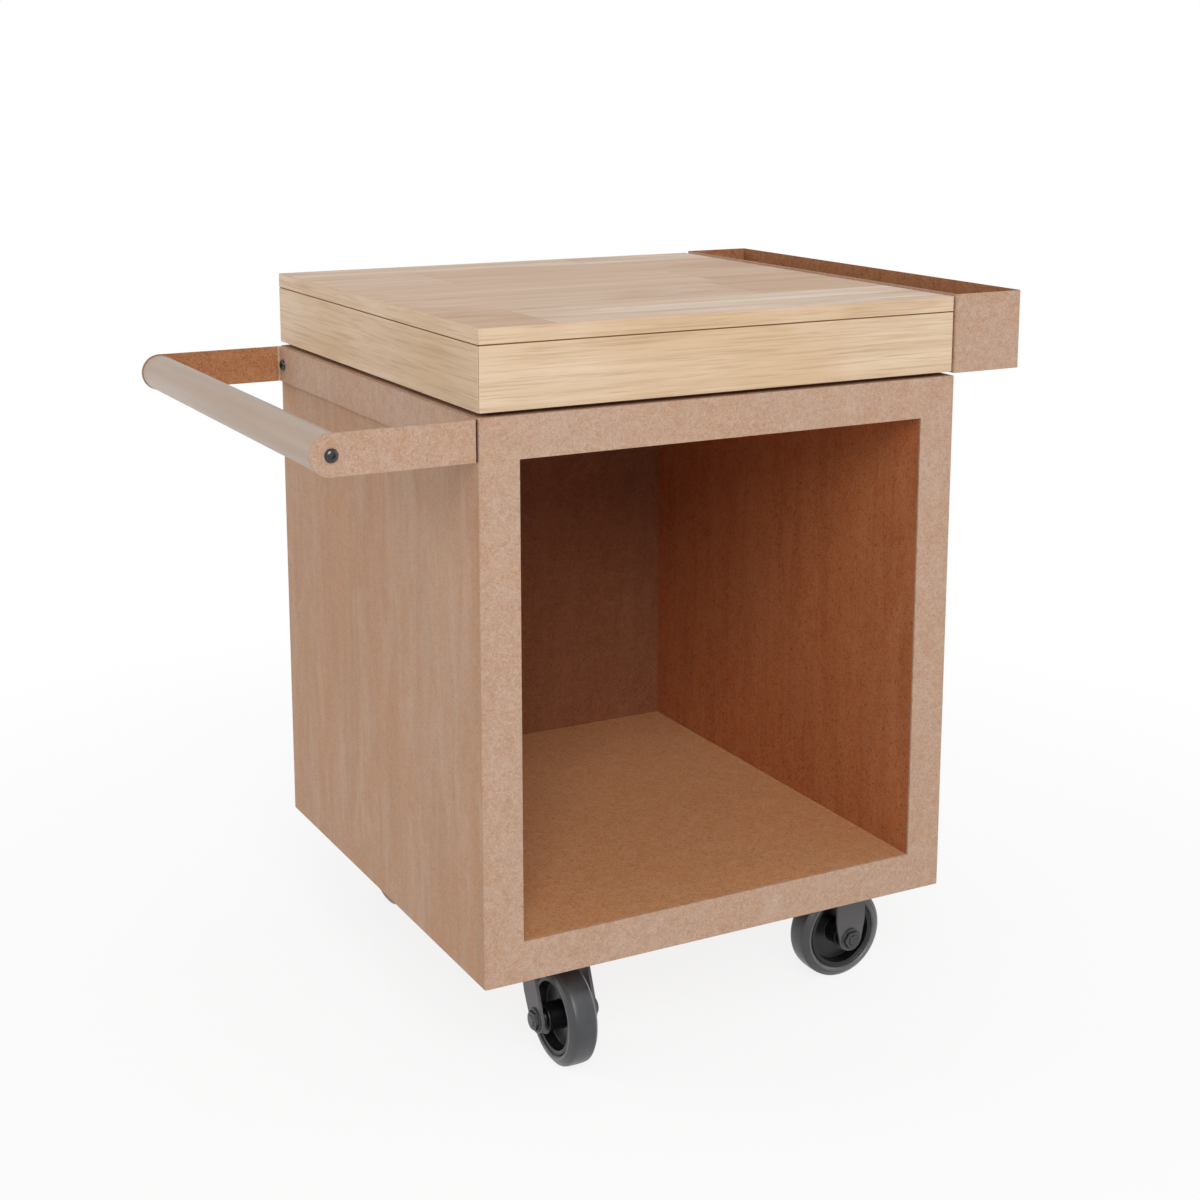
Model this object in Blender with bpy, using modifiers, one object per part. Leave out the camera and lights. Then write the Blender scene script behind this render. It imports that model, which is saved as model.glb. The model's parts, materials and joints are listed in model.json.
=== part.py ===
"""A patio prep table: a steel cabinet with an open front, on two swivel and two fixed casters.

On the cabinet stand a mitred wooden frame and the board that lifts off it. A push
handle is bolted to the left side, and a planter trough hangs beside the wooden top.
Positions are measured from the cabinet's left front corner, at floor level:
+X runs to the right, +Y to the back and +Z up. Everything is in metres.
"""

import math

import bmesh
import bpy
from mathutils import Vector

# Gap left between faces that touch on the real table
SEAT_GAP = 0.0003

# Cabinet
CABINET_WIDTH = 0.650
CABINET_DEPTH = 0.655
CABINET_HEIGHT = 0.672
SHEET_THICKNESS = 0.003
CORNER_RADIUS = 0.0025
FRAME_BORDER = 0.050
LINER_THICKNESS = 0.002
SKIRT_DEPTH = 0.0073

# Push handle
HANDLE_REACH = 0.195
STRIP_THICKNESS = 0.003
STRIP_HEIGHT = 0.048
STRIP_DROP = 0.001
STRIP_BEND_RADIUS = 0.005
GRIP_DIAMETER = 0.046
GRIP_BORE_DEPTH = 0.030
GRIP_EDGE_ROUND = 0.0015
HANDLE_BOLT_RADIUS = 0.004
HANDLE_BOLT_LENGTH = 0.026
BRACKET_BOLT_LENGTH = 0.014
BRACKET_BOLT_INSET = 0.019
BUTTON_HEAD_RADIUS = 0.008
BUTTON_HEAD_HEIGHT = 0.0045
BUTTON_FLAT = 0.45
BUTTON_SHOULDER = (0.85, 0.62)
BUTTON_RIM = 0.2
SOCKET_RADIUS = 0.0032
SOCKET_DEPTH = 0.0026

# Wooden top
SHADOW_GAP = 0.005
SPACER_INSET = 0.015
SPACER_WIDTH = 0.045
TOP_RIGHT_SETBACK = 0.0045
FRAME_BOARD_HEIGHT = 0.0747
FRAME_BOARD_THICKNESS = 0.022
EASED_EDGE = 0.0008
BLOCK_SIZE = 0.040
BLOCK_HEIGHT = 0.054
BOARD_THICKNESS = 0.019
BATTEN_WIDTH = 0.030
BATTEN_HEIGHT = 0.016
BATTEN_PLAY = 0.003

# Planter trough
TROUGH_WIDTH = 0.102
TROUGH_HEIGHT = 0.0985
TROUGH_WALL = 0.002
TROUGH_CORNER_RADIUS = 0.004
TROUGH_OFFSET = 0.004
TROUGH_DROP = 0.0023
DRAIN_RADIUS = 0.005
DRAIN_COUNT = 3
TROUGH_BOLT_RADIUS = 0.003
TROUGH_BOLT_LENGTH = 0.024
TROUGH_BOLT_INSET = 0.110
TROUGH_SPACER_RADIUS = 0.010
TROUGH_HEAD_RADIUS = 0.0055
TROUGH_HEAD_HEIGHT = 0.003

# Casters
AXIS_FROM_FRONT = 0.105
SWIVEL_AXIS_FROM_SIDE = 0.132
FIXED_AXLE_FROM_SIDE = 0.0875
CASTER_TRAIL = 0.0445
PLATE_LENGTH = 0.105
PLATE_WIDTH = 0.085
PLATE_THICKNESS = 0.003
PLATE_CORNER_RADIUS = 0.008
PLATE_HOLE_RADIUS = 0.0045
PLATE_HOLE_SPACING = (0.080, 0.060)
CASTER_HEAD_HEIGHT = 0.030
RACE_RADIUS = 0.0295
RACE_HEIGHT = 0.0127
RACE_LIP = 0.0025
RACE_PLAY = 0.001
RACE_THICKNESS = 0.003
RACE_RIM_HEIGHT = 0.0042
RACE_STEP_HEIGHT = 0.0032
RACE_WAIST_RADIUS = 0.0236
KINGPIN_RADIUS = 0.006
KINGPIN_HEAD_RADIUS = 0.011
KINGPIN_HEAD_HEIGHT = 0.005
KINGPIN_TIP_RADIUS = 0.0077
RUNNING_GAP = 0.0004
FORK_THICKNESS = 0.004
FORK_BEND_RADIUS = 0.008
FORK_REACH = 0.090
CROWN_LENGTH = 0.054
CROWN_DEPTH = 0.010
LEG_END_RADIUS = 0.017
SWIVEL_LEG_SHOULDER_HEIGHT = 0.052
SWIVEL_LEG_NEAR_SHOULDER = 0.003
SWIVEL_LEG_FAR_SHOULDER = 0.0405
SWIVEL_LEG_BEND_HEIGHT = 0.024
SWIVEL_LEG_BEND = 0.0325
FIXED_LEG_HALF_WIDTH = 0.022
FIXED_LEG_SHOULDER_HEIGHT = 0.024

# Wheels and axles
WHEEL_RADIUS = 0.0625
TREAD_HALF_WIDTH = 0.013
TYRE_HALF_WIDTH = 0.0175
SHOULDER_DROP = 0.0065
SIDE_RING_RADIUS = 0.0515
SIDE_RING_HALF_WIDTH = 0.0195
SIDE_RING_SLOPE = 0.003
RIM_RADIUS = 0.047
RIM_THICKNESS = 0.004
RIM_HALF_WIDTH = 0.0165
RIM_DRAFT = 0.002
WEB_HALF_THICKNESS = 0.0025
HUB_RADIUS = 0.0165
HUB_DRAFT = 0.001
HUB_CAP_RADIUS = 0.0195
HUB_CAP_THICKNESS = 0.003
HUB_CAP_FACE = 0.0285
HUB_BOSS_RADIUS = 0.0115
HUB_HALF_LENGTH = 0.0337
AXLE_RADIUS = 0.0065
AXLE_END_PROUD = 0.001
AXLE_CHAMFER = 0.0008
AXLE_HEAD_RADIUS = 0.0118
AXLE_HEAD_HEIGHT = 0.005
NUT_RADIUS = 0.0122
NUT_HEIGHT = 0.005
NUT_FLANGE_RADIUS = 0.0150
NUT_FLANGE_HEIGHT = 0.0018
NUT_FLANGE_TAPER = 0.001

# Facets round a full turn
FINE_SIDES = 32
ROUND_SIDES = 20
SMALL_SIDES = 12
HEX_SIDES = 6
BEND_STEPS = 4

# Heights and places that follow from the sizes above
CASTER_HEIGHT = 2 * WHEEL_RADIUS + CASTER_HEAD_HEIGHT
BASE_BOTTOM = CASTER_HEIGHT + SEAT_GAP
CABINET_BOTTOM = BASE_BOTTOM - SKIRT_DEPTH
CABINET_TOP = CABINET_BOTTOM + CABINET_HEIGHT
OPENING_LEFT = FRAME_BORDER
OPENING_RIGHT = CABINET_WIDTH - FRAME_BORDER
OPENING_BOTTOM = CABINET_BOTTOM + FRAME_BORDER
OPENING_TOP = CABINET_TOP - FRAME_BORDER
INNER_FRONT = SHEET_THICKNESS + SEAT_GAP
INNER_BACK = CABINET_DEPTH - SHEET_THICKNESS - SEAT_GAP
INNER_LEFT = SHEET_THICKNESS + SEAT_GAP
INNER_RIGHT = CABINET_WIDTH - SHEET_THICKNESS - SEAT_GAP
STRIP_TOP = CABINET_TOP - STRIP_DROP
STRIP_BOTTOM = STRIP_TOP - STRIP_HEIGHT
STRIP_MIDDLE = (STRIP_TOP + STRIP_BOTTOM) / 2
TIP_RADIUS = STRIP_HEIGHT / 2
GRIP_X = TIP_RADIUS - HANDLE_REACH
FRAME_BOTTOM = CABINET_TOP + SHADOW_GAP + SEAT_GAP
FRAME_TOP = FRAME_BOTTOM + FRAME_BOARD_HEIGHT
BOARD_BOTTOM = FRAME_TOP + SEAT_GAP
BOARD_TOP = BOARD_BOTTOM + BOARD_THICKNESS
TOP_WIDTH = CABINET_WIDTH - TOP_RIGHT_SETBACK
TROUGH_LEFT = TOP_WIDTH + TROUGH_OFFSET
TROUGH_RIGHT = TROUGH_LEFT + TROUGH_WIDTH
TROUGH_BOTTOM = FRAME_BOTTOM - TROUGH_DROP
TROUGH_TOP = TROUGH_BOTTOM + TROUGH_HEIGHT
CENTRE_X = (TROUGH_RIGHT - HANDLE_REACH) / 2
CENTRE_Y = CABINET_DEPTH / 2

# Colour, roughness and metallic value of each finish
FINISHES = {
    "weathered_steel": ((0.50, 0.33, 0.23), 0.75, 0.1),
    "rusty_liner_steel": ((0.32, 0.13, 0.055), 0.8, 0.1),
    "pale_hardwood": ((0.66, 0.49, 0.33), 0.5, 0.0),
    "board_hardwood": ((0.60, 0.44, 0.31), 0.45, 0.0),
    "grip_finish": ((0.60, 0.49, 0.40), 0.4, 0.2),
    "black_steel": ((0.02, 0.02, 0.022), 0.4, 0.6),
    "fork_paint": ((0.055, 0.055, 0.058), 0.45, 0.3),
    "black_plastic": ((0.018, 0.018, 0.02), 0.5, 0.0),
    "grey_rubber": ((0.075, 0.073, 0.072), 0.6, 0.0),
    "spacer_plastic": ((0.03, 0.03, 0.03), 0.6, 0.0),
}

XZ_PLANE = (math.radians(90), 0.0, 0.0)
YZ_PLANE = (math.radians(90), 0.0, math.radians(90))


def clear_scene():
    """Remove what the opened file holds."""
    for item in list(bpy.data.objects):
        bpy.data.objects.remove(item, do_unlink=True)


def collection(name):
    """A new collection under the scene's own."""
    group = bpy.data.collections.new(name)
    bpy.context.scene.collection.children.link(group)
    return group


def finish(name):
    """The material of that name, made on first use."""
    made = bpy.data.materials.get(name)
    if made:
        return made
    color, roughness, metallic = FINISHES[name]
    made = bpy.data.materials.new(name)
    made.use_nodes = True
    surface = made.node_tree.nodes["Principled BSDF"]
    surface.inputs["Base Color"].default_value = (*color, 1.0)
    surface.inputs["Roughness"].default_value = roughness
    surface.inputs["Metallic"].default_value = metallic
    made.diffuse_color = (*color, 1.0)
    return made


def empty(name, location, parent=None, turn=0.0):
    """An empty that carries other pieces, turned about Z."""
    carrier = bpy.data.objects.new(name, None)
    parts.objects.link(carrier)
    carrier.parent = parent
    carrier.location = location
    carrier.rotation_euler = (0.0, 0.0, turn)
    return carrier


def add_piece(name, mesh, finish_name, parent, location, rotation=(0.0, 0.0, 0.0)):
    """Put a mesh in the scene as one piece, or as a cutter where it has no finish."""
    piece = bpy.data.objects.new(name, mesh)
    if finish_name:
        parts.objects.link(piece)
        mesh.materials.append(finish(finish_name))
    else:
        cutters.objects.link(piece)
        piece.hide_render = True
        piece.display_type = "WIRE"
    piece.parent = parent
    piece.location = location
    piece.rotation_euler = rotation
    return piece


def box(name, low, high, finish_name, parent):
    """A closed box between two corners."""
    low, high = Vector(low), Vector(high)
    mesh = bpy.data.meshes.new(name)
    solid = bmesh.new()
    bmesh.ops.create_cube(solid, size=1.0)
    bmesh.ops.scale(solid, vec=high - low, verts=solid.verts)
    solid.to_mesh(mesh)
    solid.free()
    return add_piece(name, mesh, finish_name, parent, (low + high) / 2)


def cylinder(name, radius, length, sides, finish_name, parent, location, rotation=(0.0, 0.0, 0.0)):
    """A closed cylinder round its own Z axis, with its origin in its middle."""
    mesh = bpy.data.meshes.new(name)
    solid = bmesh.new()
    bmesh.ops.create_cone(
        solid, cap_ends=True, segments=sides, radius1=radius, radius2=radius, depth=length)
    solid.to_mesh(mesh)
    solid.free()
    mesh.shade_smooth()
    mesh.set_sharp_from_angle(angle=math.radians(30))
    return add_piece(name, mesh, finish_name, parent, location, rotation)


def turned(name, profile, closed, sides, finish_name, parent, location, rotation=(0.0, 0.0, 0.0)):
    """A profile of (radius, height) points turned about Z, outer side first and downwards."""
    mesh = bpy.data.meshes.new(name)
    count = len(profile)
    edges = [(i, (i + 1) % count) for i in range(count if closed else count - 1)]
    mesh.from_pydata([(radius, 0.0, height) for radius, height in profile], edges, [])
    piece = add_piece(name, mesh, finish_name, parent, location, rotation)
    screw = piece.modifiers.new("turn", "SCREW")
    screw.steps = sides
    screw.render_steps = sides
    screw.use_merge_vertices = True
    screw.merge_threshold = 0.00001
    screw.use_smooth_shade = True
    return piece


def curve_mesh(name, points, cyclic, extrude):
    """A poly curve through flat points, given a height along its Z, as a welded mesh."""
    curve = bpy.data.curves.new(name, "CURVE")
    curve.dimensions = "2D" if cyclic else "3D"
    curve.fill_mode = "BOTH" if cyclic else "FULL"
    curve.extrude = extrude / 2
    spline = curve.splines.new("POLY")
    spline.points.add(len(points) - 1)
    spline.use_cyclic_u = cyclic
    for knot, (x, y) in zip(spline.points, points):
        knot.co = (x, y, 0.0, 1.0)
    guide = bpy.data.objects.new(name, curve)
    cutters.objects.link(guide)
    depsgraph = bpy.context.evaluated_depsgraph_get()
    mesh = bpy.data.meshes.new_from_object(guide.evaluated_get(depsgraph))
    mesh.name = name
    bpy.data.objects.remove(guide, do_unlink=True)
    solid = bmesh.new()
    solid.from_mesh(mesh)
    bmesh.ops.remove_doubles(solid, verts=solid.verts, dist=0.00001)
    if cyclic:
        bmesh.ops.recalc_face_normals(solid, faces=solid.faces)
    solid.to_mesh(mesh)
    solid.free()
    return mesh


def plate(name, outline, thickness, finish_name, parent, location, rotation=(0.0, 0.0, 0.0)):
    """A flat outline given a thickness, half to each side of its plane."""
    mesh = curve_mesh(name, outline, True, thickness)
    return add_piece(name, mesh, finish_name, parent, location, rotation)


def bent_strip(name, path, width, thickness, finish_name, parent, location, rotation=(0.0, 0.0, 0.0)):
    """A strip whose outer face follows a path in its own XY plane, thickened inwards."""
    mesh = curve_mesh(name, path, False, width)
    piece = add_piece(name, mesh, finish_name, parent, location, rotation)
    shell = piece.modifiers.new("thickness", "SOLIDIFY")
    shell.thickness = thickness
    shell.offset = 1.0
    shell.use_even_offset = True
    return piece


def boolean(piece, other, operation):
    """Cut, join or intersect a piece with another object."""
    step = piece.modifiers.new(other.name, "BOOLEAN")
    step.operation = operation
    step.object = other
    step.solver = "EXACT"


def ease_edges(piece, width, segments=1, angle=30):
    """Take the sharpness off a piece's edges."""
    bevel = piece.modifiers.new("eased_edges", "BEVEL")
    bevel.width = width
    bevel.segments = segments
    bevel.limit_method = "ANGLE"
    bevel.angle_limit = math.radians(angle)


def arc(centre, radius, start, end, steps):
    """Points along an arc, angles in degrees."""
    turns = [math.radians(start + (end - start) * i / steps) for i in range(steps + 1)]
    return [(centre[0] + radius * math.cos(t), centre[1] + radius * math.sin(t)) for t in turns]


def rounded_rectangle(width, height, radius, steps=BEND_STEPS):
    """An outline round the origin with four round corners."""
    x, y = width / 2 - radius, height / 2 - radius
    outline = []
    for quarter, centre in enumerate(((x, y), (-x, y), (-x, -y), (x, -y))):
        outline += arc(centre, radius, 90 * quarter, 90 * quarter + 90, steps)
    return outline


def rounded_front_plate(name, y, facing, parent):
    """A full cabinet wall whose two upright edges are rounded on its outer side."""
    radius = CORNER_RADIUS
    half = CABINET_WIDTH / 2
    inner = SHEET_THICKNESS
    left = arc((radius - half, radius), radius, 180, 270, BEND_STEPS)
    right = arc((half - radius, radius), radius, 270, 360, BEND_STEPS)
    outline = [(-half, inner)] + left + right + [(half, inner)]
    turn = 0.0 if facing == "front" else math.radians(180)
    middle = (half, y, CABINET_BOTTOM + CABINET_HEIGHT / 2)
    return plate(name, outline, CABINET_HEIGHT, "weathered_steel", parent, middle, (0.0, 0.0, turn))


def build_cabinet(root):
    """The outer shell, and the liner that makes the open-fronted compartment."""
    front = rounded_front_plate("front_frame", 0.0, "front", root)
    opening = box(
        "front_opening",
        (OPENING_LEFT, -SHEET_THICKNESS, OPENING_BOTTOM),
        (OPENING_RIGHT, 2 * SHEET_THICKNESS, OPENING_TOP), None, root)
    boolean(front, opening, "DIFFERENCE")
    rounded_front_plate("back_panel", CABINET_DEPTH, "back", root)

    for side, x in (("left", 0.0), ("right", CABINET_WIDTH - SHEET_THICKNESS)):
        wall = box(
            side + "_side_panel",
            (x, INNER_FRONT, CABINET_BOTTOM),
            (x + SHEET_THICKNESS, INNER_BACK, CABINET_TOP), "weathered_steel", root)
        if side == "left":
            for end, y in bracket_bolt_places():
                hole = cylinder(
                    "side_panel_hole_" + end, HANDLE_BOLT_RADIUS + SEAT_GAP, 4 * SHEET_THICKNESS,
                    SMALL_SIDES, None, root, (x, y, STRIP_MIDDLE), YZ_PLANE)
                boolean(wall, hole, "DIFFERENCE")

    for name, bottom in (("base_plate", BASE_BOTTOM), ("top_panel", CABINET_TOP - SHEET_THICKNESS)):
        box(
            name, (INNER_LEFT, INNER_FRONT, bottom),
            (INNER_RIGHT, INNER_BACK, bottom + SHEET_THICKNESS), "weathered_steel", root)

    floor_bottom = OPENING_BOTTOM - LINER_THICKNESS
    for name, bottom in (("liner_floor", floor_bottom), ("liner_ceiling", OPENING_TOP)):
        box(
            name, (OPENING_LEFT + SEAT_GAP, INNER_FRONT, bottom),
            (OPENING_RIGHT - SEAT_GAP, INNER_BACK, bottom + LINER_THICKNESS), "rusty_liner_steel", root)
    for name, x in (("liner_left_wall", OPENING_LEFT - LINER_THICKNESS), ("liner_right_wall", OPENING_RIGHT)):
        box(
            name, (x, INNER_FRONT, floor_bottom),
            (x + LINER_THICKNESS, INNER_BACK, OPENING_TOP + LINER_THICKNESS), "rusty_liner_steel", root)


def bracket_bolt_places():
    """The two bolts through the handle's mounting face, as names and depths."""
    return (("front", BRACKET_BOLT_INSET), ("rear", CABINET_DEPTH - BRACKET_BOLT_INSET))


def button_bolt(name, radius, length, head_radius, head_height, parent, location, rotation):
    """A button-head bolt with a hex socket, its head's seat at the origin and facing +Z."""
    profile = [(0.0, head_height), (head_radius * BUTTON_FLAT, head_height)]
    profile += [(head_radius * BUTTON_SHOULDER[0], head_height * BUTTON_SHOULDER[1])]
    profile += [(head_radius, head_height * BUTTON_RIM)]
    profile += [(head_radius, 0.0), (radius, 0.0), (radius, -length), (0.0, -length)]
    bolt = turned(name, profile, False, SMALL_SIDES, "black_steel", parent, location, rotation)
    socket = cylinder(
        name + "_socket", SOCKET_RADIUS * head_radius / BUTTON_HEAD_RADIUS, 2 * SOCKET_DEPTH,
        HEX_SIDES, None, bolt, (0.0, 0.0, head_height))
    boolean(bolt, socket, "DIFFERENCE")
    return bolt


def build_handle(root):
    """The bent strip on the left side, its round grip and the bolts of both."""
    outer = -SEAT_GAP
    radius = STRIP_BEND_RADIUS
    path = [(-HANDLE_REACH, 0.0)]
    path += arc((outer - radius, radius), radius, -90, 0, BEND_STEPS)
    path += arc((outer - radius, CABINET_DEPTH - radius), radius, 0, 90, BEND_STEPS)
    path += [(-HANDLE_REACH, CABINET_DEPTH)]
    bracket = bent_strip(
        "handle_bracket", path, STRIP_HEIGHT, STRIP_THICKNESS, "weathered_steel", root,
        (0.0, 0.0, STRIP_MIDDLE))

    tips = arc((GRIP_X, 0.0), TIP_RADIUS, 90, 270, FINE_SIDES // 2)
    tips += [(STRIP_HEIGHT, -TIP_RADIUS), (STRIP_HEIGHT, TIP_RADIUS)]
    side_view = plate(
        "handle_side_view", tips, CABINET_DEPTH + STRIP_HEIGHT, None, root,
        (0.0, CENTRE_Y, STRIP_MIDDLE), XZ_PLANE)
    boolean(bracket, side_view, "INTERSECT")

    arm_hole = cylinder(
        "arm_holes", HANDLE_BOLT_RADIUS + SEAT_GAP, CABINET_DEPTH + STRIP_HEIGHT, SMALL_SIDES,
        None, root, (GRIP_X, CENTRE_Y, STRIP_MIDDLE), XZ_PLANE)
    boolean(bracket, arm_hole, "DIFFERENCE")
    for end, y in bracket_bolt_places():
        hole = cylinder(
            "bracket_hole_" + end, HANDLE_BOLT_RADIUS + SEAT_GAP, 6 * STRIP_THICKNESS, SMALL_SIDES,
            None, root, (outer - STRIP_THICKNESS / 2, y, STRIP_MIDDLE), YZ_PLANE)
        boolean(bracket, hole, "DIFFERENCE")
        button_bolt(
            "bracket_bolt_" + end, HANDLE_BOLT_RADIUS, BRACKET_BOLT_LENGTH, BUTTON_HEAD_RADIUS,
            BUTTON_HEAD_HEIGHT, root, (outer - STRIP_THICKNESS - SEAT_GAP, y, STRIP_MIDDLE),
            (0.0, math.radians(-90), 0.0))

    grip_half = CABINET_DEPTH / 2 - STRIP_THICKNESS - SEAT_GAP
    grip_radius = GRIP_DIAMETER / 2
    bore = HANDLE_BOLT_RADIUS + SEAT_GAP
    bore_end = grip_half - GRIP_BORE_DEPTH
    profile = [(0.0, bore_end), (bore, bore_end), (bore, grip_half)]
    profile += [(grip_radius - GRIP_EDGE_ROUND, grip_half), (grip_radius, grip_half - GRIP_EDGE_ROUND)]
    profile += [(grip_radius, GRIP_EDGE_ROUND - grip_half), (grip_radius - GRIP_EDGE_ROUND, -grip_half)]
    profile += [(bore, -grip_half), (bore, -bore_end), (0.0, -bore_end)]
    turned(
        "handle_grip", profile, False, FINE_SIDES, "grip_finish", root,
        (GRIP_X, CENTRE_Y, STRIP_MIDDLE), XZ_PLANE)

    for end, y, tilt in (("front", -SEAT_GAP, 90), ("rear", CABINET_DEPTH + SEAT_GAP, -90)):
        button_bolt(
            "grip_bolt_" + end, HANDLE_BOLT_RADIUS, HANDLE_BOLT_LENGTH, BUTTON_HEAD_RADIUS,
            BUTTON_HEAD_HEIGHT, root, (GRIP_X, y, STRIP_MIDDLE), (math.radians(tilt), 0.0, 0.0))


def mitred_board(name, length, location, turn, root):
    """A frame board lying along X with its outer face at y = 0, mitred at both ends."""
    half = length / 2 - SEAT_GAP
    inner = half - FRAME_BOARD_THICKNESS
    outline = [(-half, 0.0), (half, 0.0), (inner, FRAME_BOARD_THICKNESS), (-inner, FRAME_BOARD_THICKNESS)]
    board = plate(
        name, outline, FRAME_BOARD_HEIGHT, "pale_hardwood", root, location, (0.0, 0.0, math.radians(turn)))
    ease_edges(board, EASED_EDGE)
    return board


def trough_bolt_places():
    """The two bolts that hold the trough, as names and depths."""
    return (("front", TROUGH_BOLT_INSET), ("rear", CABINET_DEPTH - TROUGH_BOLT_INSET))


def build_wooden_top(root):
    """Spacers, the mitred frame with its corner blocks, and the board that lifts off."""
    front_y, rear_y = SPACER_INSET, CABINET_DEPTH - SPACER_INSET - SPACER_WIDTH
    for end, y in (("front", front_y), ("rear", rear_y)):
        box(
            "top_spacer_" + end, (SPACER_INSET, y, CABINET_TOP + SEAT_GAP),
            (TOP_WIDTH - SPACER_INSET, y + SPACER_WIDTH, CABINET_TOP + SHADOW_GAP),
            "spacer_plastic", root)

    middle = FRAME_BOTTOM + FRAME_BOARD_HEIGHT / 2
    mitred_board("top_frame_front", TOP_WIDTH, (TOP_WIDTH / 2, 0.0, middle), 0, root)
    mitred_board("top_frame_rear", TOP_WIDTH, (TOP_WIDTH / 2, CABINET_DEPTH, middle), 180, root)
    mitred_board("top_frame_left", CABINET_DEPTH, (0.0, CENTRE_Y, middle), -90, root)
    right = mitred_board("top_frame_right", CABINET_DEPTH, (TOP_WIDTH, CENTRE_Y, middle), 90, root)
    for end, y in trough_bolt_places():
        hole = cylinder(
            "frame_hole_" + end, TROUGH_BOLT_RADIUS + SEAT_GAP, 2 * (TROUGH_BOLT_LENGTH - TROUGH_OFFSET),
            SMALL_SIDES, None, root, (TOP_WIDTH, y, middle), YZ_PLANE)
        boolean(right, hole, "DIFFERENCE")

    inset = FRAME_BOARD_THICKNESS + SEAT_GAP
    for side, x in (("left", inset), ("right", TOP_WIDTH - inset - BLOCK_SIZE)):
        for end, y in (("front", inset), ("rear", CABINET_DEPTH - inset - BLOCK_SIZE)):
            box(
                "corner_block_" + end + "_" + side, (x, y, FRAME_BOTTOM),
                (x + BLOCK_SIZE, y + BLOCK_SIZE, FRAME_BOTTOM + BLOCK_HEIGHT), "pale_hardwood", root)

    board = box(
        "cutting_board", (0.0, 0.0, BOARD_BOTTOM), (TOP_WIDTH, CABINET_DEPTH, BOARD_TOP),
        "board_hardwood", root)
    ease_edges(board, EASED_EDGE)
    batten_inset = FRAME_BOARD_THICKNESS + BATTEN_PLAY
    batten_top = BOARD_BOTTOM - SEAT_GAP
    for side, x in (("left", batten_inset), ("right", TOP_WIDTH - batten_inset - BATTEN_WIDTH)):
        box(
            "board_batten_" + side, (x, batten_inset, batten_top - BATTEN_HEIGHT),
            (x + BATTEN_WIDTH, CABINET_DEPTH - batten_inset, batten_top), "board_hardwood", root)


def build_planter(root):
    """The open trough with its drain holes, and the bolts and spacers that carry it."""
    centre = ((TROUGH_LEFT + TROUGH_RIGHT) / 2, CENTRE_Y, (TROUGH_BOTTOM + TROUGH_TOP) / 2)
    outline = rounded_rectangle(TROUGH_WIDTH, CABINET_DEPTH, TROUGH_CORNER_RADIUS)
    trough = plate("planter_trough", outline, TROUGH_HEIGHT, "weathered_steel", root, centre)
    inside = rounded_rectangle(
        TROUGH_WIDTH - 2 * TROUGH_WALL, CABINET_DEPTH - 2 * TROUGH_WALL,
        TROUGH_CORNER_RADIUS - TROUGH_WALL)
    hollow = plate(
        "trough_inside", inside, TROUGH_HEIGHT, None, root,
        (centre[0], centre[1], centre[2] + TROUGH_WALL))
    boolean(trough, hollow, "DIFFERENCE")
    for i in range(DRAIN_COUNT):
        y = CABINET_DEPTH * (i + 1) / (DRAIN_COUNT + 1)
        drain = cylinder(
            "drain_" + str(i + 1), DRAIN_RADIUS, 6 * TROUGH_WALL, SMALL_SIDES, None, root,
            (centre[0], y, TROUGH_BOTTOM))
        boolean(trough, drain, "DIFFERENCE")

    height = FRAME_BOTTOM + FRAME_BOARD_HEIGHT / 2
    bore = TROUGH_BOLT_RADIUS + SEAT_GAP
    inner_face = TROUGH_LEFT + TROUGH_WALL
    half = TROUGH_OFFSET / 2 - SEAT_GAP
    for end, y in trough_bolt_places():
        hole = cylinder(
            "trough_hole_" + end, bore, 4 * TROUGH_WALL, SMALL_SIDES, None, root,
            (TROUGH_LEFT, y, height), YZ_PLANE)
        boolean(trough, hole, "DIFFERENCE")
        ring = [(TROUGH_SPACER_RADIUS, half), (TROUGH_SPACER_RADIUS, -half), (bore, -half), (bore, half)]
        turned(
            "planter_spacer_" + end, ring, True, SMALL_SIDES, "spacer_plastic", root,
            (TOP_WIDTH + TROUGH_OFFSET / 2, y, height), YZ_PLANE)
        button_bolt(
            "planter_bolt_" + end, TROUGH_BOLT_RADIUS, TROUGH_BOLT_LENGTH, TROUGH_HEAD_RADIUS,
            TROUGH_HEAD_HEIGHT, root, (inner_face + SEAT_GAP, y, height), (0.0, math.radians(90), 0.0))


def build_plain_plate(name, mount):
    """A caster's mounting plate with its four bolt holes."""
    top = CASTER_HEIGHT
    outline = rounded_rectangle(PLATE_LENGTH, PLATE_WIDTH, PLATE_CORNER_RADIUS, 3)
    piece = plate(
        name + "_caster_plate", outline, PLATE_THICKNESS, "fork_paint", mount,
        (0.0, 0.0, top - PLATE_THICKNESS / 2))
    for i in (-1, 1):
        for j in (-1, 1):
            place = (i * PLATE_HOLE_SPACING[0] / 2, j * PLATE_HOLE_SPACING[1] / 2, top)
            hole = cylinder(
                name + "_plate_hole", PLATE_HOLE_RADIUS, 4 * PLATE_THICKNESS, SMALL_SIDES,
                None, mount, place)
            boolean(piece, hole, "DIFFERENCE")
    return piece


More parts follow.
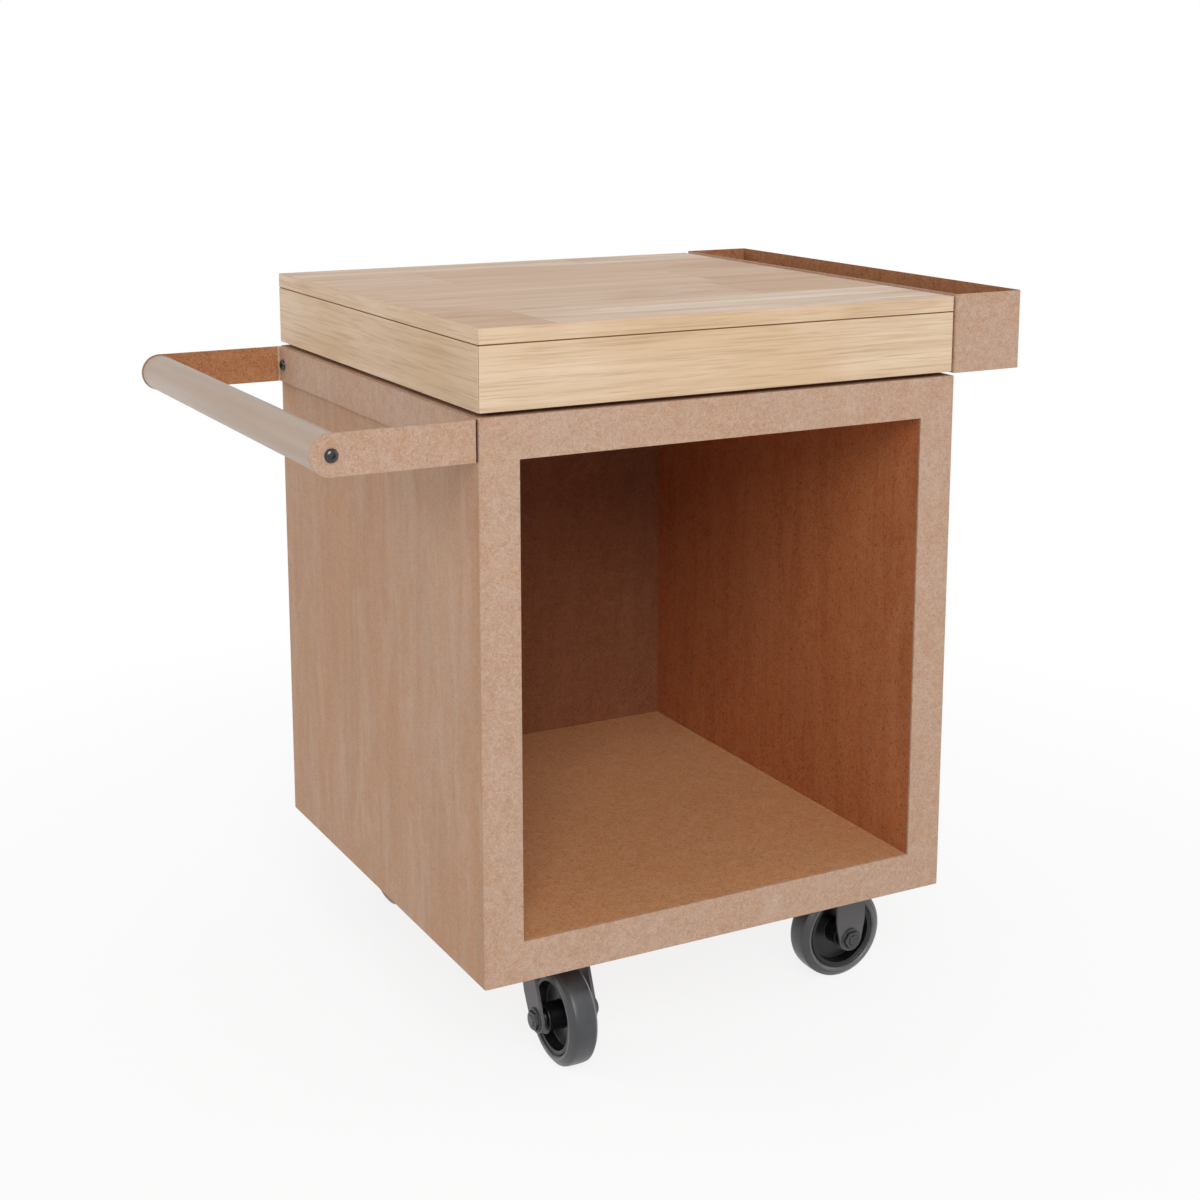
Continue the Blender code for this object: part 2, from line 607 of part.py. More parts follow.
def build_swivel_plate(name, mount):
    """The mounting plate of a swivel caster, with the upper race and the riveted kingpin."""
    piece = build_plain_plate(name, mount)
    top = CASTER_HEIGHT
    inside = RACE_RADIUS + RACE_PLAY
    outside = inside + RACE_LIP
    race_top = top - PLATE_THICKNESS / 2
    race_bottom = top - PLATE_THICKNESS - RACE_THICKNESS
    lip_bottom = race_bottom - RACE_RIM_HEIGHT
    head_top = fork_crown_top() - FORK_THICKNESS - RUNNING_GAP
    profile = [(0.0, race_top), (inside, race_top), (outside, race_bottom)]
    profile += [(outside, lip_bottom), (inside, lip_bottom), (inside, race_bottom)]
    profile += [(KINGPIN_RADIUS, race_bottom), (KINGPIN_RADIUS, head_top), (KINGPIN_HEAD_RADIUS, head_top)]
    profile += [(KINGPIN_TIP_RADIUS, head_top - KINGPIN_HEAD_HEIGHT)]
    profile += [(0.0, head_top - KINGPIN_HEAD_HEIGHT)]
    race = turned(name + "_upper_race", profile, False, ROUND_SIDES, None, mount, (0.0, 0.0, 0.0))
    boolean(piece, race, "UNION")


def fork_crown_top():
    """Height of the fork's flat top above the floor."""
    return CASTER_HEIGHT - PLATE_THICKNESS - RACE_THICKNESS - RUNNING_GAP - RACE_HEIGHT


def leg_inner_face():
    """Distance of a fork leg's inner face from the wheel's middle plane."""
    return HUB_HALF_LENGTH + SEAT_GAP


def tangent_angle(across, up, side):
    """Where a straight leg edge from a shoulder meets the leg's round end, in degrees."""
    opening = math.degrees(math.acos(LEG_END_RADIUS / math.hypot(across, up)))
    return math.degrees(math.atan2(up, across)) - side * opening


def leg_end(axle, near, far):
    """The leg's round end about the axle, tangent to its near and far edges."""
    start = tangent_angle(far[0], far[1], -1)
    end = tangent_angle(near[0], near[1], 1) + 360
    return arc(axle, LEG_END_RADIUS, start, end, 10)


def build_channel(name, crown, side, axle_x, parent):
    """A steel channel bent over the wheel, both legs cut to one side view and bored for the axle."""
    outer = leg_inner_face() + FORK_THICKNESS
    radius = FORK_BEND_RADIUS
    path = [(outer, 0.0)]
    path += arc((outer - radius, crown - radius), radius, 0, 90, BEND_STEPS)
    path += arc((radius - outer, crown - radius), radius, 90, 180, BEND_STEPS)
    path += [(-outer, 0.0)]
    piece = bent_strip(
        name + "_fork", path, 2 * FORK_REACH, FORK_THICKNESS, "fork_paint", parent,
        (0.0, 0.0, 0.0), YZ_PLANE)
    side_view = plate(
        name + "_fork_side_view", side, 4 * outer, None, parent, (0.0, 0.0, 0.0), XZ_PLANE)
    boolean(piece, side_view, "INTERSECT")
    axle_hole = cylinder(
        name + "_axle_hole", AXLE_RADIUS + SEAT_GAP, 4 * outer, SMALL_SIDES, None, parent,
        (axle_x, 0.0, WHEEL_RADIUS), XZ_PLANE)
    boolean(piece, axle_hole, "DIFFERENCE")
    return piece


def build_swivel_fork(name, swivel):
    """The fork of a swivel caster: legs raked back to the kingpin, and the lower race on top."""
    crown = fork_crown_top()
    axle = (CASTER_TRAIL, WHEEL_RADIUS)
    shoulder = WHEEL_RADIUS + SWIVEL_LEG_SHOULDER_HEIGHT
    bend = (-SWIVEL_LEG_BEND, SWIVEL_LEG_BEND_HEIGHT)
    near = (-SWIVEL_LEG_NEAR_SHOULDER, SWIVEL_LEG_SHOULDER_HEIGHT)
    top = crown + RACE_HEIGHT
    half = CROWN_LENGTH / 2
    side = leg_end(axle, near, bend)
    side += [(CASTER_TRAIL - SWIVEL_LEG_NEAR_SHOULDER, shoulder)]
    side += [(half, crown - CROWN_DEPTH / 2), (half, top)]
    side += [(-half, top), (-half, crown - CROWN_DEPTH)]
    side += [(CASTER_TRAIL - SWIVEL_LEG_FAR_SHOULDER, shoulder)]
    side += [(CASTER_TRAIL - SWIVEL_LEG_BEND, WHEEL_RADIUS + SWIVEL_LEG_BEND_HEIGHT)]
    piece = build_channel(name, crown, side, CASTER_TRAIL, swivel)

    bore = KINGPIN_RADIUS + RUNNING_GAP
    seat = crown - FORK_THICKNESS / 2
    profile = [(0.0, top), (RACE_RADIUS, top), (RACE_RADIUS, top - RACE_RIM_HEIGHT)]
    profile += [(RACE_WAIST_RADIUS, crown + RACE_STEP_HEIGHT), (RACE_WAIST_RADIUS, seat), (0.0, seat)]
    race = turned(name + "_lower_race", profile, False, ROUND_SIDES, None, swivel, (0.0, 0.0, 0.0))
    boolean(piece, race, "UNION")
    pin_hole = cylinder(
        name + "_pin_hole", bore, 4 * RACE_HEIGHT, SMALL_SIDES, None, swivel, (0.0, 0.0, crown))
    boolean(piece, pin_hole, "DIFFERENCE")


def build_fixed_fork(name, mount):
    """The fork of a fixed caster: straight legs under the plate, centred on the axle."""
    crown = CASTER_HEIGHT - PLATE_THICKNESS - SEAT_GAP
    shoulder = WHEEL_RADIUS + FIXED_LEG_SHOULDER_HEIGHT
    near = (FIXED_LEG_HALF_WIDTH, FIXED_LEG_SHOULDER_HEIGHT)
    far = (-FIXED_LEG_HALF_WIDTH, FIXED_LEG_SHOULDER_HEIGHT)
    half = CROWN_LENGTH / 2
    top = crown + CROWN_DEPTH
    side = leg_end((0.0, WHEEL_RADIUS), near, far)
    side += [(FIXED_LEG_HALF_WIDTH, shoulder), (FIXED_LEG_HALF_WIDTH, crown - 2 * CROWN_DEPTH)]
    side += [(half, crown - CROWN_DEPTH), (half, top), (-half, top), (-half, crown - CROWN_DEPTH)]
    side += [(-FIXED_LEG_HALF_WIDTH, crown - 2 * CROWN_DEPTH), (-FIXED_LEG_HALF_WIDTH, shoulder)]
    build_channel(name, crown, side, 0.0, mount)


def build_axle(name, axle_x, swivel):
    """The hex-head axle bolt across the fork, and the flanged nut on its outer end."""
    place = (axle_x, 0.0, WHEEL_RADIUS)
    seat = leg_inner_face() + FORK_THICKNESS + SEAT_GAP
    head_middle = -seat - AXLE_HEAD_HEIGHT / 2
    nut_middle = seat + (NUT_HEIGHT + NUT_FLANGE_HEIGHT) / 2
    tip = nut_middle + NUT_HEIGHT / 2 + AXLE_END_PROUD
    profile = [(0.0, tip), (AXLE_RADIUS - AXLE_CHAMFER, tip), (AXLE_RADIUS, tip - AXLE_CHAMFER)]
    profile += [(AXLE_RADIUS, head_middle), (0.0, head_middle)]
    bolt = turned(name + "_axle_bolt", profile, False, SMALL_SIDES, "black_steel", swivel, place, XZ_PLANE)
    head = cylinder(
        name + "_axle_head", AXLE_HEAD_RADIUS, AXLE_HEAD_HEIGHT, HEX_SIDES, None, bolt,
        (0.0, 0.0, head_middle))
    boolean(bolt, head, "UNION")

    bore = AXLE_RADIUS + SEAT_GAP
    flange_top = seat + NUT_FLANGE_HEIGHT
    flange = [(0.0, flange_top), (NUT_FLANGE_RADIUS - NUT_FLANGE_TAPER, flange_top)]
    flange += [(NUT_FLANGE_RADIUS, seat), (0.0, seat)]
    nut = turned(name + "_axle_nut", flange, False, SMALL_SIDES, "black_steel", swivel, place, XZ_PLANE)
    hexagon = cylinder(
        name + "_nut_hexagon", NUT_RADIUS, NUT_HEIGHT, HEX_SIDES, None, nut,
        (0.0, 0.0, nut_middle))
    boolean(nut, hexagon, "UNION")
    thread = cylinder(name + "_nut_bore", bore, 4 * NUT_HEIGHT, SMALL_SIDES, None, nut, (0.0, 0.0, seat))
    boolean(nut, thread, "DIFFERENCE")


def build_wheel(name, axle):
    """The core with its capped hub, and the tyre round it, turned about the axle."""
    bore = AXLE_RADIUS + SEAT_GAP
    rim_inner = RIM_RADIUS - RIM_THICKNESS
    upper = [(RIM_RADIUS, RIM_HALF_WIDTH), (RIM_RADIUS, -RIM_HALF_WIDTH), (rim_inner, -RIM_HALF_WIDTH)]
    upper += [(rim_inner - RIM_DRAFT, -WEB_HALF_THICKNESS)]
    cap_seat = HUB_CAP_FACE - HUB_CAP_THICKNESS
    upper += [(HUB_RADIUS + HUB_DRAFT, -WEB_HALF_THICKNESS), (HUB_RADIUS, -cap_seat)]
    upper += [(HUB_CAP_RADIUS, -cap_seat), (HUB_CAP_RADIUS, -HUB_CAP_FACE)]
    upper += [(HUB_BOSS_RADIUS, -HUB_CAP_FACE)]
    upper += [(HUB_BOSS_RADIUS, -HUB_HALF_LENGTH), (bore, -HUB_HALF_LENGTH)]
    lower = [(radius, -height) for radius, height in reversed(upper[2:])]
    turned(
        name + "_wheel_core", upper + lower, True, ROUND_SIDES, "black_plastic", axle,
        (0.0, 0.0, 0.0), XZ_PLANE)

    shoulder = WHEEL_RADIUS - SHOULDER_DROP
    inner = RIM_RADIUS + SEAT_GAP
    half = [(WHEEL_RADIUS, -TREAD_HALF_WIDTH), (shoulder, -TYRE_HALF_WIDTH)]
    half += [(SIDE_RING_RADIUS, -SIDE_RING_HALF_WIDTH)]
    half += [(SIDE_RING_RADIUS - SIDE_RING_SLOPE, -TYRE_HALF_WIDTH), (inner, -RIM_HALF_WIDTH)]
    other = [(radius, -height) for radius, height in reversed(half)]
    turned(
        name + "_tyre", half + other, True, FINE_SIDES, "grey_rubber", axle,
        (0.0, 0.0, 0.0), XZ_PLANE)


def build_swivel_caster(name, x, y, heading, root):
    """A swivel caster whose wheel trails towards its heading, in degrees from +X."""
    mount = empty(name + "_mount", (x, y, 0.0), root)
    build_swivel_plate(name, mount)
    swivel = empty(name + "_swivel_axis", (x, y, 0.0), root, math.radians(heading))
    build_swivel_fork(name, swivel)
    build_axle(name, CASTER_TRAIL, swivel)
    axle = empty(name + "_wheel_axis", (CASTER_TRAIL, 0.0, WHEEL_RADIUS), swivel)
    build_wheel(name, axle)


def build_fixed_caster(name, x, y, heading, root):
    """A fixed caster over its own axle, rolling along its heading, in degrees from +X."""
    mount = empty(name + "_mount", (x, y, 0.0), root, math.radians(heading))
    build_plain_plate(name, mount)
    build_fixed_fork(name, mount)
    build_axle(name, 0.0, mount)
    axle = empty(name + "_wheel_axis", (0.0, 0.0, WHEEL_RADIUS), mount)
    build_wheel(name, axle)


def build_table():
    """The whole table, centred over the middle of its plan."""
    root = empty("cabinet_corner", (-CENTRE_X, -CENTRE_Y, 0.0))
    build_cabinet(root)
    build_handle(root)
    build_wooden_top(root)
    build_planter(root)
    left, right = SWIVEL_AXIS_FROM_SIDE, CABINET_WIDTH - FIXED_AXLE_FROM_SIDE
    front, rear = AXIS_FROM_FRONT, CABINET_DEPTH - AXIS_FROM_FRONT
    build_swivel_caster("front_left", left, front, -90, root)
    build_swivel_caster("rear_left", left, rear, 90, root)
    build_fixed_caster("front_right", right, front, 0, root)
    build_fixed_caster("rear_right", right, rear, 180, root)


clear_scene()
parts = collection("prep_table")
cutters = collection("cutters")
build_table()
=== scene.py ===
"""Looks of the patio prep table: finishes, fine edges, turned wheels and fasteners."""

import json
import math

import bmesh
import bpy
from mathutils import Matrix, Vector


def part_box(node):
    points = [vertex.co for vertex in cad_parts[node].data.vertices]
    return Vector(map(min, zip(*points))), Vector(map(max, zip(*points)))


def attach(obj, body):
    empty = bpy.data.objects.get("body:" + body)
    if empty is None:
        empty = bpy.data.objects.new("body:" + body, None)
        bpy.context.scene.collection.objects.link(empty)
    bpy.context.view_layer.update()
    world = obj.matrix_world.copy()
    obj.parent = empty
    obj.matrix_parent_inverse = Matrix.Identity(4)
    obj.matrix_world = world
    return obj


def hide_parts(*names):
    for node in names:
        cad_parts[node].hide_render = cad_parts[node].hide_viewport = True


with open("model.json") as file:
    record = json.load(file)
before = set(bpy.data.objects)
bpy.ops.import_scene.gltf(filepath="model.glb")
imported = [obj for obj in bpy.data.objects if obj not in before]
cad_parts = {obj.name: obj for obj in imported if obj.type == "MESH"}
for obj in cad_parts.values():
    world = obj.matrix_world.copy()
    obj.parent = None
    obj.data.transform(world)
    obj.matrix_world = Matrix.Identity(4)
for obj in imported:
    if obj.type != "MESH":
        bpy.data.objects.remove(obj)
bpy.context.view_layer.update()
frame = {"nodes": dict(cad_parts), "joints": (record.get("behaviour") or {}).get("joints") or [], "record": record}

joints = {joint["name"]: joint for joint in frame["joints"]}

# Places that several pieces share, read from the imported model
BOARD_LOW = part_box("cutting_board")[0]
GRIP_LOW, GRIP_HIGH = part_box("handle_grip")
CASTERS = ("front_left", "front_right", "rear_left", "rear_right")

# Camera, in metres and degrees
CAMERA_PLACE = (-1.1568, -2.2573, 1.1984)
CAMERA_YAW = 28.06
CAMERA_PITCH = 10.87
CAMERA_LENS = 59.08
CAMERA_SENSOR = 36.0
CAMERA_SHIFT = -0.13

# Board made of wide staves: their width and where each row is butt-jointed, front row first
STAVE_WIDTH = 0.1418
STAVE_JOINTS = (0.097, 0.458, 0.482, 0.165, 0.432)
STAVE_SEED = 3.0

# Wood: the colour of the shade painted along the seam under the board, the frame's warm clouds, and
# the grip's pale, plain, warm and dark tones
SEAM_SHADE_COLOR = (0.26, 0.095, 0.024)
WARM_WOOD = (0.59, 0.40, 0.225)
GRIP_COLORS = (
    (0.425, 0.315, 0.245), (0.38, 0.270, 0.200), (0.43, 0.32, 0.19), (0.36, 0.28, 0.21))

# Roundings of the edges, and how far the trough's inner faces lie inside its outline
STEEL_EDGE = 0.0004
FRONT_EDGE = 0.0006
LINER_EDGE = 0.0002
WOOD_EDGE = 0.0003
BLOCK_EDGE = 0.001
BATTEN_EDGE = 0.0015
SMALL_EDGE = 0.0003
FORK_EDGE = 0.0005
TROUGH_WALL = 0.0015

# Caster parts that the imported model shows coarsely: leg corners are along and above the axle
FORK_THICKNESS = 0.004
FORK_BEND_RADIUS = 0.008
FORK_REACH = 0.090
LEG_INNER_FACE = 0.034
LEG_END_RADIUS = 0.017
SWIVEL_LEG_NEAR = (-0.003, 0.052)
SWIVEL_LEG_FAR = (-0.0405, 0.052)
SWIVEL_LEG_BEND = (-0.0325, 0.024)
FIXED_LEG_NEAR = (0.022, 0.024)
CROWN_LENGTH = 0.054
CROWN_DEPTH = 0.010
AXLE_RADIUS = 0.0065
NUT_RADIUS = 0.0122
NUT_FLANGE_RADIUS = 0.0150
BOLT_HEAD_RADIUS = 0.0118
HUB_RADIUS = 0.0165
HUB_CAP_RADIUS = 0.0195
HUB_CAP_FACE = 0.0285
HUB_BOSS_RADIUS = 0.0115
HUB_HALF_LENGTH = 0.0337
RIM_RADIUS = 0.047
RIM_THICKNESS = 0.005
RIM_HALF_WIDTH = 0.0165
RUNNING_GAP = 0.0003
RACE_HEIGHT = 0.0127
RACE_RADIUS = 0.0295
RACE_BAND = 0.0042
PIN_HOLE_RADIUS = 0.0064
BOLT_HEAD_HEIGHT = 0.005
NUT_HEIGHT = 0.0059
NUT_FLANGE_HEIGHT = 0.0018
PLATE_THICKNESS = 0.003
PLATE_BOLT_RADIUS = 0.0075
PLATE_BOLT_HEIGHT = 0.0053
PLATE_HOLE_HALF_SPACING = (0.040, 0.030)

# Stage: each lamp's name, place, size and power, all aimed at the cabinet's middle
WORLD_LIGHT = 0.36
FLOOR_GLOW = 0.84
FLOOR_REACH = 9.0
LAMP_TARGET = (0.0, 0.0, 0.5)
LAMPS = (
    ("key_lamp", (-2.6, -7.4, 5.6), 5.0, 560),
    ("left_lamp", (-6.2, 3.2, 3.0), 3.6, 124),
    ("right_lamp", (7.0, -1.0, 3.0), 3.6, 90),
)

# Turns a shape made along Z so that it lies along Y
AXIS_Y = Matrix.Rotation(math.radians(90), 4, "X")

# Angles over which an edge shades sharp, in degrees, on plain and on softened pieces
SHARP_ANGLE = 35.0
SOFTENED_SHARP_ANGLE = 60.0

WHEEL_SIDES = 96
ROUND_SIDES = 48
BOLT_SIDES = 32


# Node graphs

class Graph:
    """One procedural material, built node by node over object coordinates in metres."""

    def __init__(self, name):
        self.material = bpy.data.materials.new(name)
        self.material.use_nodes = True
        self.tree = self.material.node_tree
        self.surface = self.tree.nodes["Principled BSDF"]
        self.place = self.add("TexCoord").outputs["Object"]

    def add(self, kind, inputs=None, **settings):
        node = self.tree.nodes.new("ShaderNode" + kind)
        for key, value in settings.items():
            setattr(node, key, value)
        for key, value in (inputs or {}).items():
            self.feed(node.inputs[key], value)
        return node

    def feed(self, socket, value):
        if isinstance(value, bpy.types.NodeSocket):
            self.tree.links.new(value, socket)
        else:
            socket.default_value = value

    def math(self, operation, first, second=0.0):
        return self.add("Math", {0: first, 1: second}, operation=operation).outputs[0]

    def vector(self, operation, first, second):
        node = self.add("VectorMath", {0: first, 1: second}, operation=operation)
        return node.outputs["Value" if operation == "LENGTH" else "Vector"]

    def parts(self, vector):
        return self.add("SeparateXYZ", {0: vector}).outputs

    def noise(self, density, detail=4.0, roughness=0.5, distortion=0.0, place=None):
        """Noise whose density is its features per metre, one number or one for each axis."""
        spread = density if isinstance(density, tuple) else (density,) * 3
        scaled = self.vector("MULTIPLY", place or self.place, spread)
        inputs = {"Vector": scaled, "Scale": 1.0, "Detail": detail, "Roughness": roughness}
        inputs["Distortion"] = distortion
        return self.add("TexNoise", inputs).outputs[0]

    def ramp(self, factor, low, high, start=0.0, end=1.0):
        """A number moved from the span low to high onto the span start to end, and clamped."""
        inputs = {0: factor, 1: low, 2: high, 3: start, 4: end}
        return self.add("MapRange", inputs, clamp=True).outputs[0]

    def share(self, factor, amount):
        """A part of a factor, for a mix that stays partial where the factor is 1."""
        return self.math("MULTIPLY", factor, amount)

    def mix(self, factor, first, second):
        node = self.add("Mix", data_type="RGBA")
        self.feed(node.inputs["Factor"], factor)
        for key, value in (("A", first), ("B", second)):
            socket = [s for s in node.inputs if s.name == key and s.type == "RGBA"][0]
            self.feed(socket, value if isinstance(value, bpy.types.NodeSocket) else (*value, 1.0))
        return [s for s in node.outputs if s.type == "RGBA"][0]

    def bump(self, height, distance, strength):
        inputs = {"Height": height, "Distance": distance, "Strength": strength}
        return self.add("Bump", inputs).outputs[0]

    def finish(self, color, roughness, normal, gloss):
        """Connect the surface and give it its uniform values; nothing here is metallic."""
        self.feed(self.surface.inputs["Base Color"], color)
        self.feed(self.surface.inputs["Roughness"], roughness)
        self.feed(self.surface.inputs["Normal"], normal)
        self.surface.inputs["Metallic"].default_value = 0.0
        self.surface.inputs["Specular IOR Level"].default_value = gloss
        return self.material


def weathered_steel(name, tone, warm, pale, dark, streaks, mottle=1.0, gloss=0.3):
    """Rusted patina: broad clouds, small mottles, fine curls, dark pits and upright run marks.

    Streaks is how strongly the run marks show and mottle how strongly the small marks do.
    """
    g = Graph(name)
    clouds = g.ramp(g.noise(9.0, 3.0, 0.55), 0.38, 0.62)
    blotches = g.ramp(g.noise(42.0, 4.0, 0.6, 0.8), 0.42, 0.60)
    patches = g.ramp(g.noise(70.0, 7.0, 0.72, 1.4), 0.44, 0.60)
    lines = g.math("ABSOLUTE", g.math("SUBTRACT", g.noise(105.0, 3.0, 0.6, 2.2), 0.5))
    thin = g.ramp(lines, 0.0, 0.022, 1.0, 0.0)
    curls = g.math("MULTIPLY", thin, g.ramp(g.noise(50.0, 3.0), 0.44, 0.58))
    pits = g.ramp(g.noise(300.0, 3.0, 0.7, 1.2), 0.54, 0.66)
    runs = g.ramp(g.noise((30.0, 30.0, 3.0), 3.0, 0.62, 1.0), 0.46, 0.62)
    broad = g.ramp(g.noise((9.0, 9.0, 1.4), 4.0, 0.58, 0.8), 0.42, 0.58)
    veils = g.ramp(g.noise((16.0, 16.0, 3.5), 7.0, 0.68, 1.0), 0.47, 0.62)
    smudges = g.ramp(g.noise((38.0, 38.0, 16.0), 6.0, 0.72, 1.5), 0.62, 0.70)
    bloom = g.ramp(g.noise(13.0, 7.0, 0.72, 1.2), 0.55, 0.70)
    color = g.mix(g.share(clouds, 0.35), tone, warm)
    color = g.mix(g.share(blotches, 0.45 * mottle), color, warm)
    color = g.mix(g.share(broad, streaks), color, warm)
    color = g.mix(g.share(veils, streaks), color, pale)
    color = g.mix(g.share(patches, 0.38 * mottle), color, pale)
    color = g.mix(g.share(runs, streaks * 0.5), color, dark)
    color = g.mix(g.share(bloom, 0.40), color, pale)
    color = g.mix(g.share(smudges, streaks), color, pale)
    specks = g.ramp(g.noise(640.0, 2.0, 0.6, 0.6), 0.48, 0.62)
    color = g.mix(g.share(specks, 0.58 * mottle), color, pale)
    color = g.mix(g.share(curls, 0.45 * mottle), color, pale)
    color = g.mix(g.share(pits, 0.55 * mottle), color, dark)
    height = g.math("ADD", g.math("MULTIPLY", curls, 0.5), g.math("MULTIPLY", patches, 0.5))
    normal = g.bump(height, 0.00025, 0.6)
    roughness = g.ramp(g.math("ADD", patches, curls), 0.0, 2.0, 0.66, 0.84)
    return g.finish(color, roughness, normal, gloss)


def grain(g, place, along, lines, seed):
    """Wood figure in one place: growth rings, fine dark fibres and broader bands."""
    shifted = g.vector("ADD", place, (seed * 3.1, seed * 5.3, seed * 7.7))

    def field(length, across, detail, roughness, distortion):
        spread = (length, across, across) if along == "x" else (across, length, across)
        return g.noise(spread, detail, roughness, distortion, shifted)

    rings = g.math("SINE", g.math("MULTIPLY", field(1.1, 15.0, 2.0, 0.5, 0.1), lines))
    fibres = field(13.0, 520.0, 2.0, 0.6, 0.0)
    streaks = field(5.5, 300.0, 3.0, 0.6, 0.05)
    bands = field(1.6, 48.0, 4.0, 0.55, 0.15)
    return rings, fibres, streaks, bands


def painted_seam_shade(g, height, reach=0.0011):
    """1 at the seam between frame and board, where shade is painted into the edges as a dark line."""
    away = g.math("ABSOLUTE", g.math("SUBTRACT", g.parts(g.place)[2], height))
    return g.ramp(away, reach * 0.55, reach, 0.86, 0.0)


def hardwood(name, along, pale, tone, dark, seed):
    """Oiled pale hardwood with fine straight grain along one axis."""
    g = Graph(name)
    rings, fibres, streaks, bands = grain(g, g.place, along, 62.0, seed)
    color = g.mix(g.ramp(bands, 0.36, 0.64), pale, tone)
    shifted = g.vector("ADD", g.place, (seed, 0.0, 0.0))
    warmth = g.ramp(g.noise(3.5, 3.0, 0.5, 0.5, shifted), 0.44, 0.60)
    color = g.mix(g.share(warmth, 0.55), color, WARM_WOOD)
    color = g.mix(g.share(g.ramp(rings, 0.3, 1.0), 0.14), color, dark)
    color = g.mix(g.share(g.ramp(streaks, 0.53, 0.68), 0.48), color, dark)
    color = g.mix(g.share(g.ramp(fibres, 0.53, 0.70), 0.45), color, dark)
    # Painted shade: a dark line where the frame's top edge meets the board
    color = g.mix(painted_seam_shade(g, BOARD_LOW.z), color, SEAM_SHADE_COLOR)
    height = g.math("ADD", fibres, g.math("MULTIPLY", streaks, 0.5))
    normal = g.bump(height, 0.00012, 0.5)
    roughness = g.ramp(fibres, 0.3, 0.7, 0.44, 0.58)
    return g.finish(color, roughness, normal, 0.35)


def stave_board(name, pale, tone, dark, joint):
    """The board's staves: each has its own tone and figure, with hairline glue joints."""
    g = Graph(name)
    x, y = g.parts(g.place)[:2]
    rows = len(STAVE_JOINTS)
    across = g.math("DIVIDE", g.math("SUBTRACT", y, BOARD_LOW.y), STAVE_WIDTH)
    row = g.math("MINIMUM", g.math("FLOOR", across), rows - 1.0)
    picker = g.add("ValToRGB")
    ramp = picker.color_ramp
    ramp.interpolation = "CONSTANT"
    while len(ramp.elements) < rows:
        ramp.elements.new(0.5)
    for i, place in enumerate(STAVE_JOINTS):
        ramp.elements[i].position = i / rows
        ramp.elements[i].color = (place, place, place, 1.0)
    g.feed(picker.inputs[0], g.math("DIVIDE", g.math("ADD", row, 0.5), float(rows)))
    joint_x = g.math("ADD", g.parts(picker.outputs[0])[0], BOARD_LOW.x)
    past = g.math("SUBTRACT", x, joint_x)
    side = g.math("GREATER_THAN", past, 0.0)
    number = g.math("ADD", g.math("MULTIPLY", row, 2.0), side)
    seed = g.math("ADD", number, STAVE_SEED)
    dice = g.add("TexWhiteNoise", {"W": seed}, noise_dimensions="1D").outputs
    shift = g.vector("MULTIPLY", dice["Color"], (4.0, 9.0, 6.0))
    place = g.vector("ADD", g.place, shift)
    rings, fibres, streaks, bands = grain(g, place, "x", 34.0, 2.0)
    color = g.mix(g.ramp(bands, 0.36, 0.64, 0.02, 0.62), pale, tone)
    color = g.mix(g.ramp(dice["Value"], 0.2, 0.8, 0.08, 0.92), color, tone)
    flames = g.ramp(g.noise((2.4, 30.0, 2.4), 5.0, 0.62, 0.8, place), 0.50, 0.66)
    clouds = g.ramp(g.noise((3.0, 11.0, 3.0), 4.0, 0.60, 0.6, place), 0.50, 0.68)
    color = g.mix(g.share(flames, 0.80), color, tone)
    color = g.mix(g.share(clouds, 0.50), color, dark)
    color = g.mix(g.share(g.ramp(rings, 0.1, 1.0), 0.12), color, dark)
    color = g.mix(g.share(g.ramp(streaks, 0.54, 0.68), 0.20), color, dark)
    color = g.mix(g.share(g.ramp(fibres, 0.54, 0.72), 0.16), color, dark)
    centred = g.math("FRACT", g.math("ADD", across, 0.5))
    edge = g.math("ABSOLUTE", g.math("SUBTRACT", centred, 0.5))
    hair = g.ramp(g.math("MULTIPLY", edge, STAVE_WIDTH), 0.0002, 0.0007, 1.0, 0.0)
    butt = g.ramp(g.math("ABSOLUTE", past), 0.0002, 0.0008, 1.0, 0.0)
    lines = g.math("MULTIPLY", g.math("MAXIMUM", hair, butt), 0.5)
    color = g.mix(lines, color, joint)
    # Painted shade: a dark line along the board's lower edge at the seam
    color = g.mix(painted_seam_shade(g, BOARD_LOW.z), color, SEAM_SHADE_COLOR)
    height = g.math("SUBTRACT", fibres, g.math("MULTIPLY", lines, 2.0))
    normal = g.bump(height, 0.00012, 0.5)
    roughness = g.ramp(fibres, 0.3, 0.7, 0.40, 0.54)
    return g.finish(color, roughness, normal, 0.2)


def grip_wood(name):
    """The smooth round grip, its faint grain running along its length."""
    g = Graph(name)
    rings, fibres, streaks, bands = grain(g, g.place, "y", 26.0, 5.0)
    pale, tone, warm, dark = GRIP_COLORS
    color = g.mix(g.ramp(bands, 0.35, 0.65), pale, tone)
    color = g.mix(g.share(g.ramp(streaks, 0.54, 0.70), 0.35), color, warm)
    color = g.mix(g.share(g.ramp(fibres, 0.55, 0.75), 0.20), color, dark)
    color = g.mix(g.share(g.ramp(rings, 0.4, 1.0), 0.12), color, dark)
    normal = g.bump(fibres, 0.00006, 0.4)
    return g.finish(color, g.ramp(bands, 0.3, 0.7, 0.32, 0.42), normal, 0.45)


def dark_coat(name, color, roughness, gloss=0.5):
    """A dark paint or moulded surface with slight orange peel and dust in its hollows."""
    g = Graph(name)
    dust = g.ramp(g.noise(55.0, 6.0, 0.65), 0.45, 0.75)
    peel = g.noise(1400.0, 2.0, 0.5)
    light = tuple(min(1.0, c * 1.5 + 0.008) for c in color)
    tint = g.mix(g.share(dust, 0.45), color, light)
    normal = g.bump(peel, 0.00004, 0.35)
    rough = g.ramp(dust, 0.0, 1.0, roughness, roughness + 0.14)
    return g.finish(tint, rough, normal, gloss)


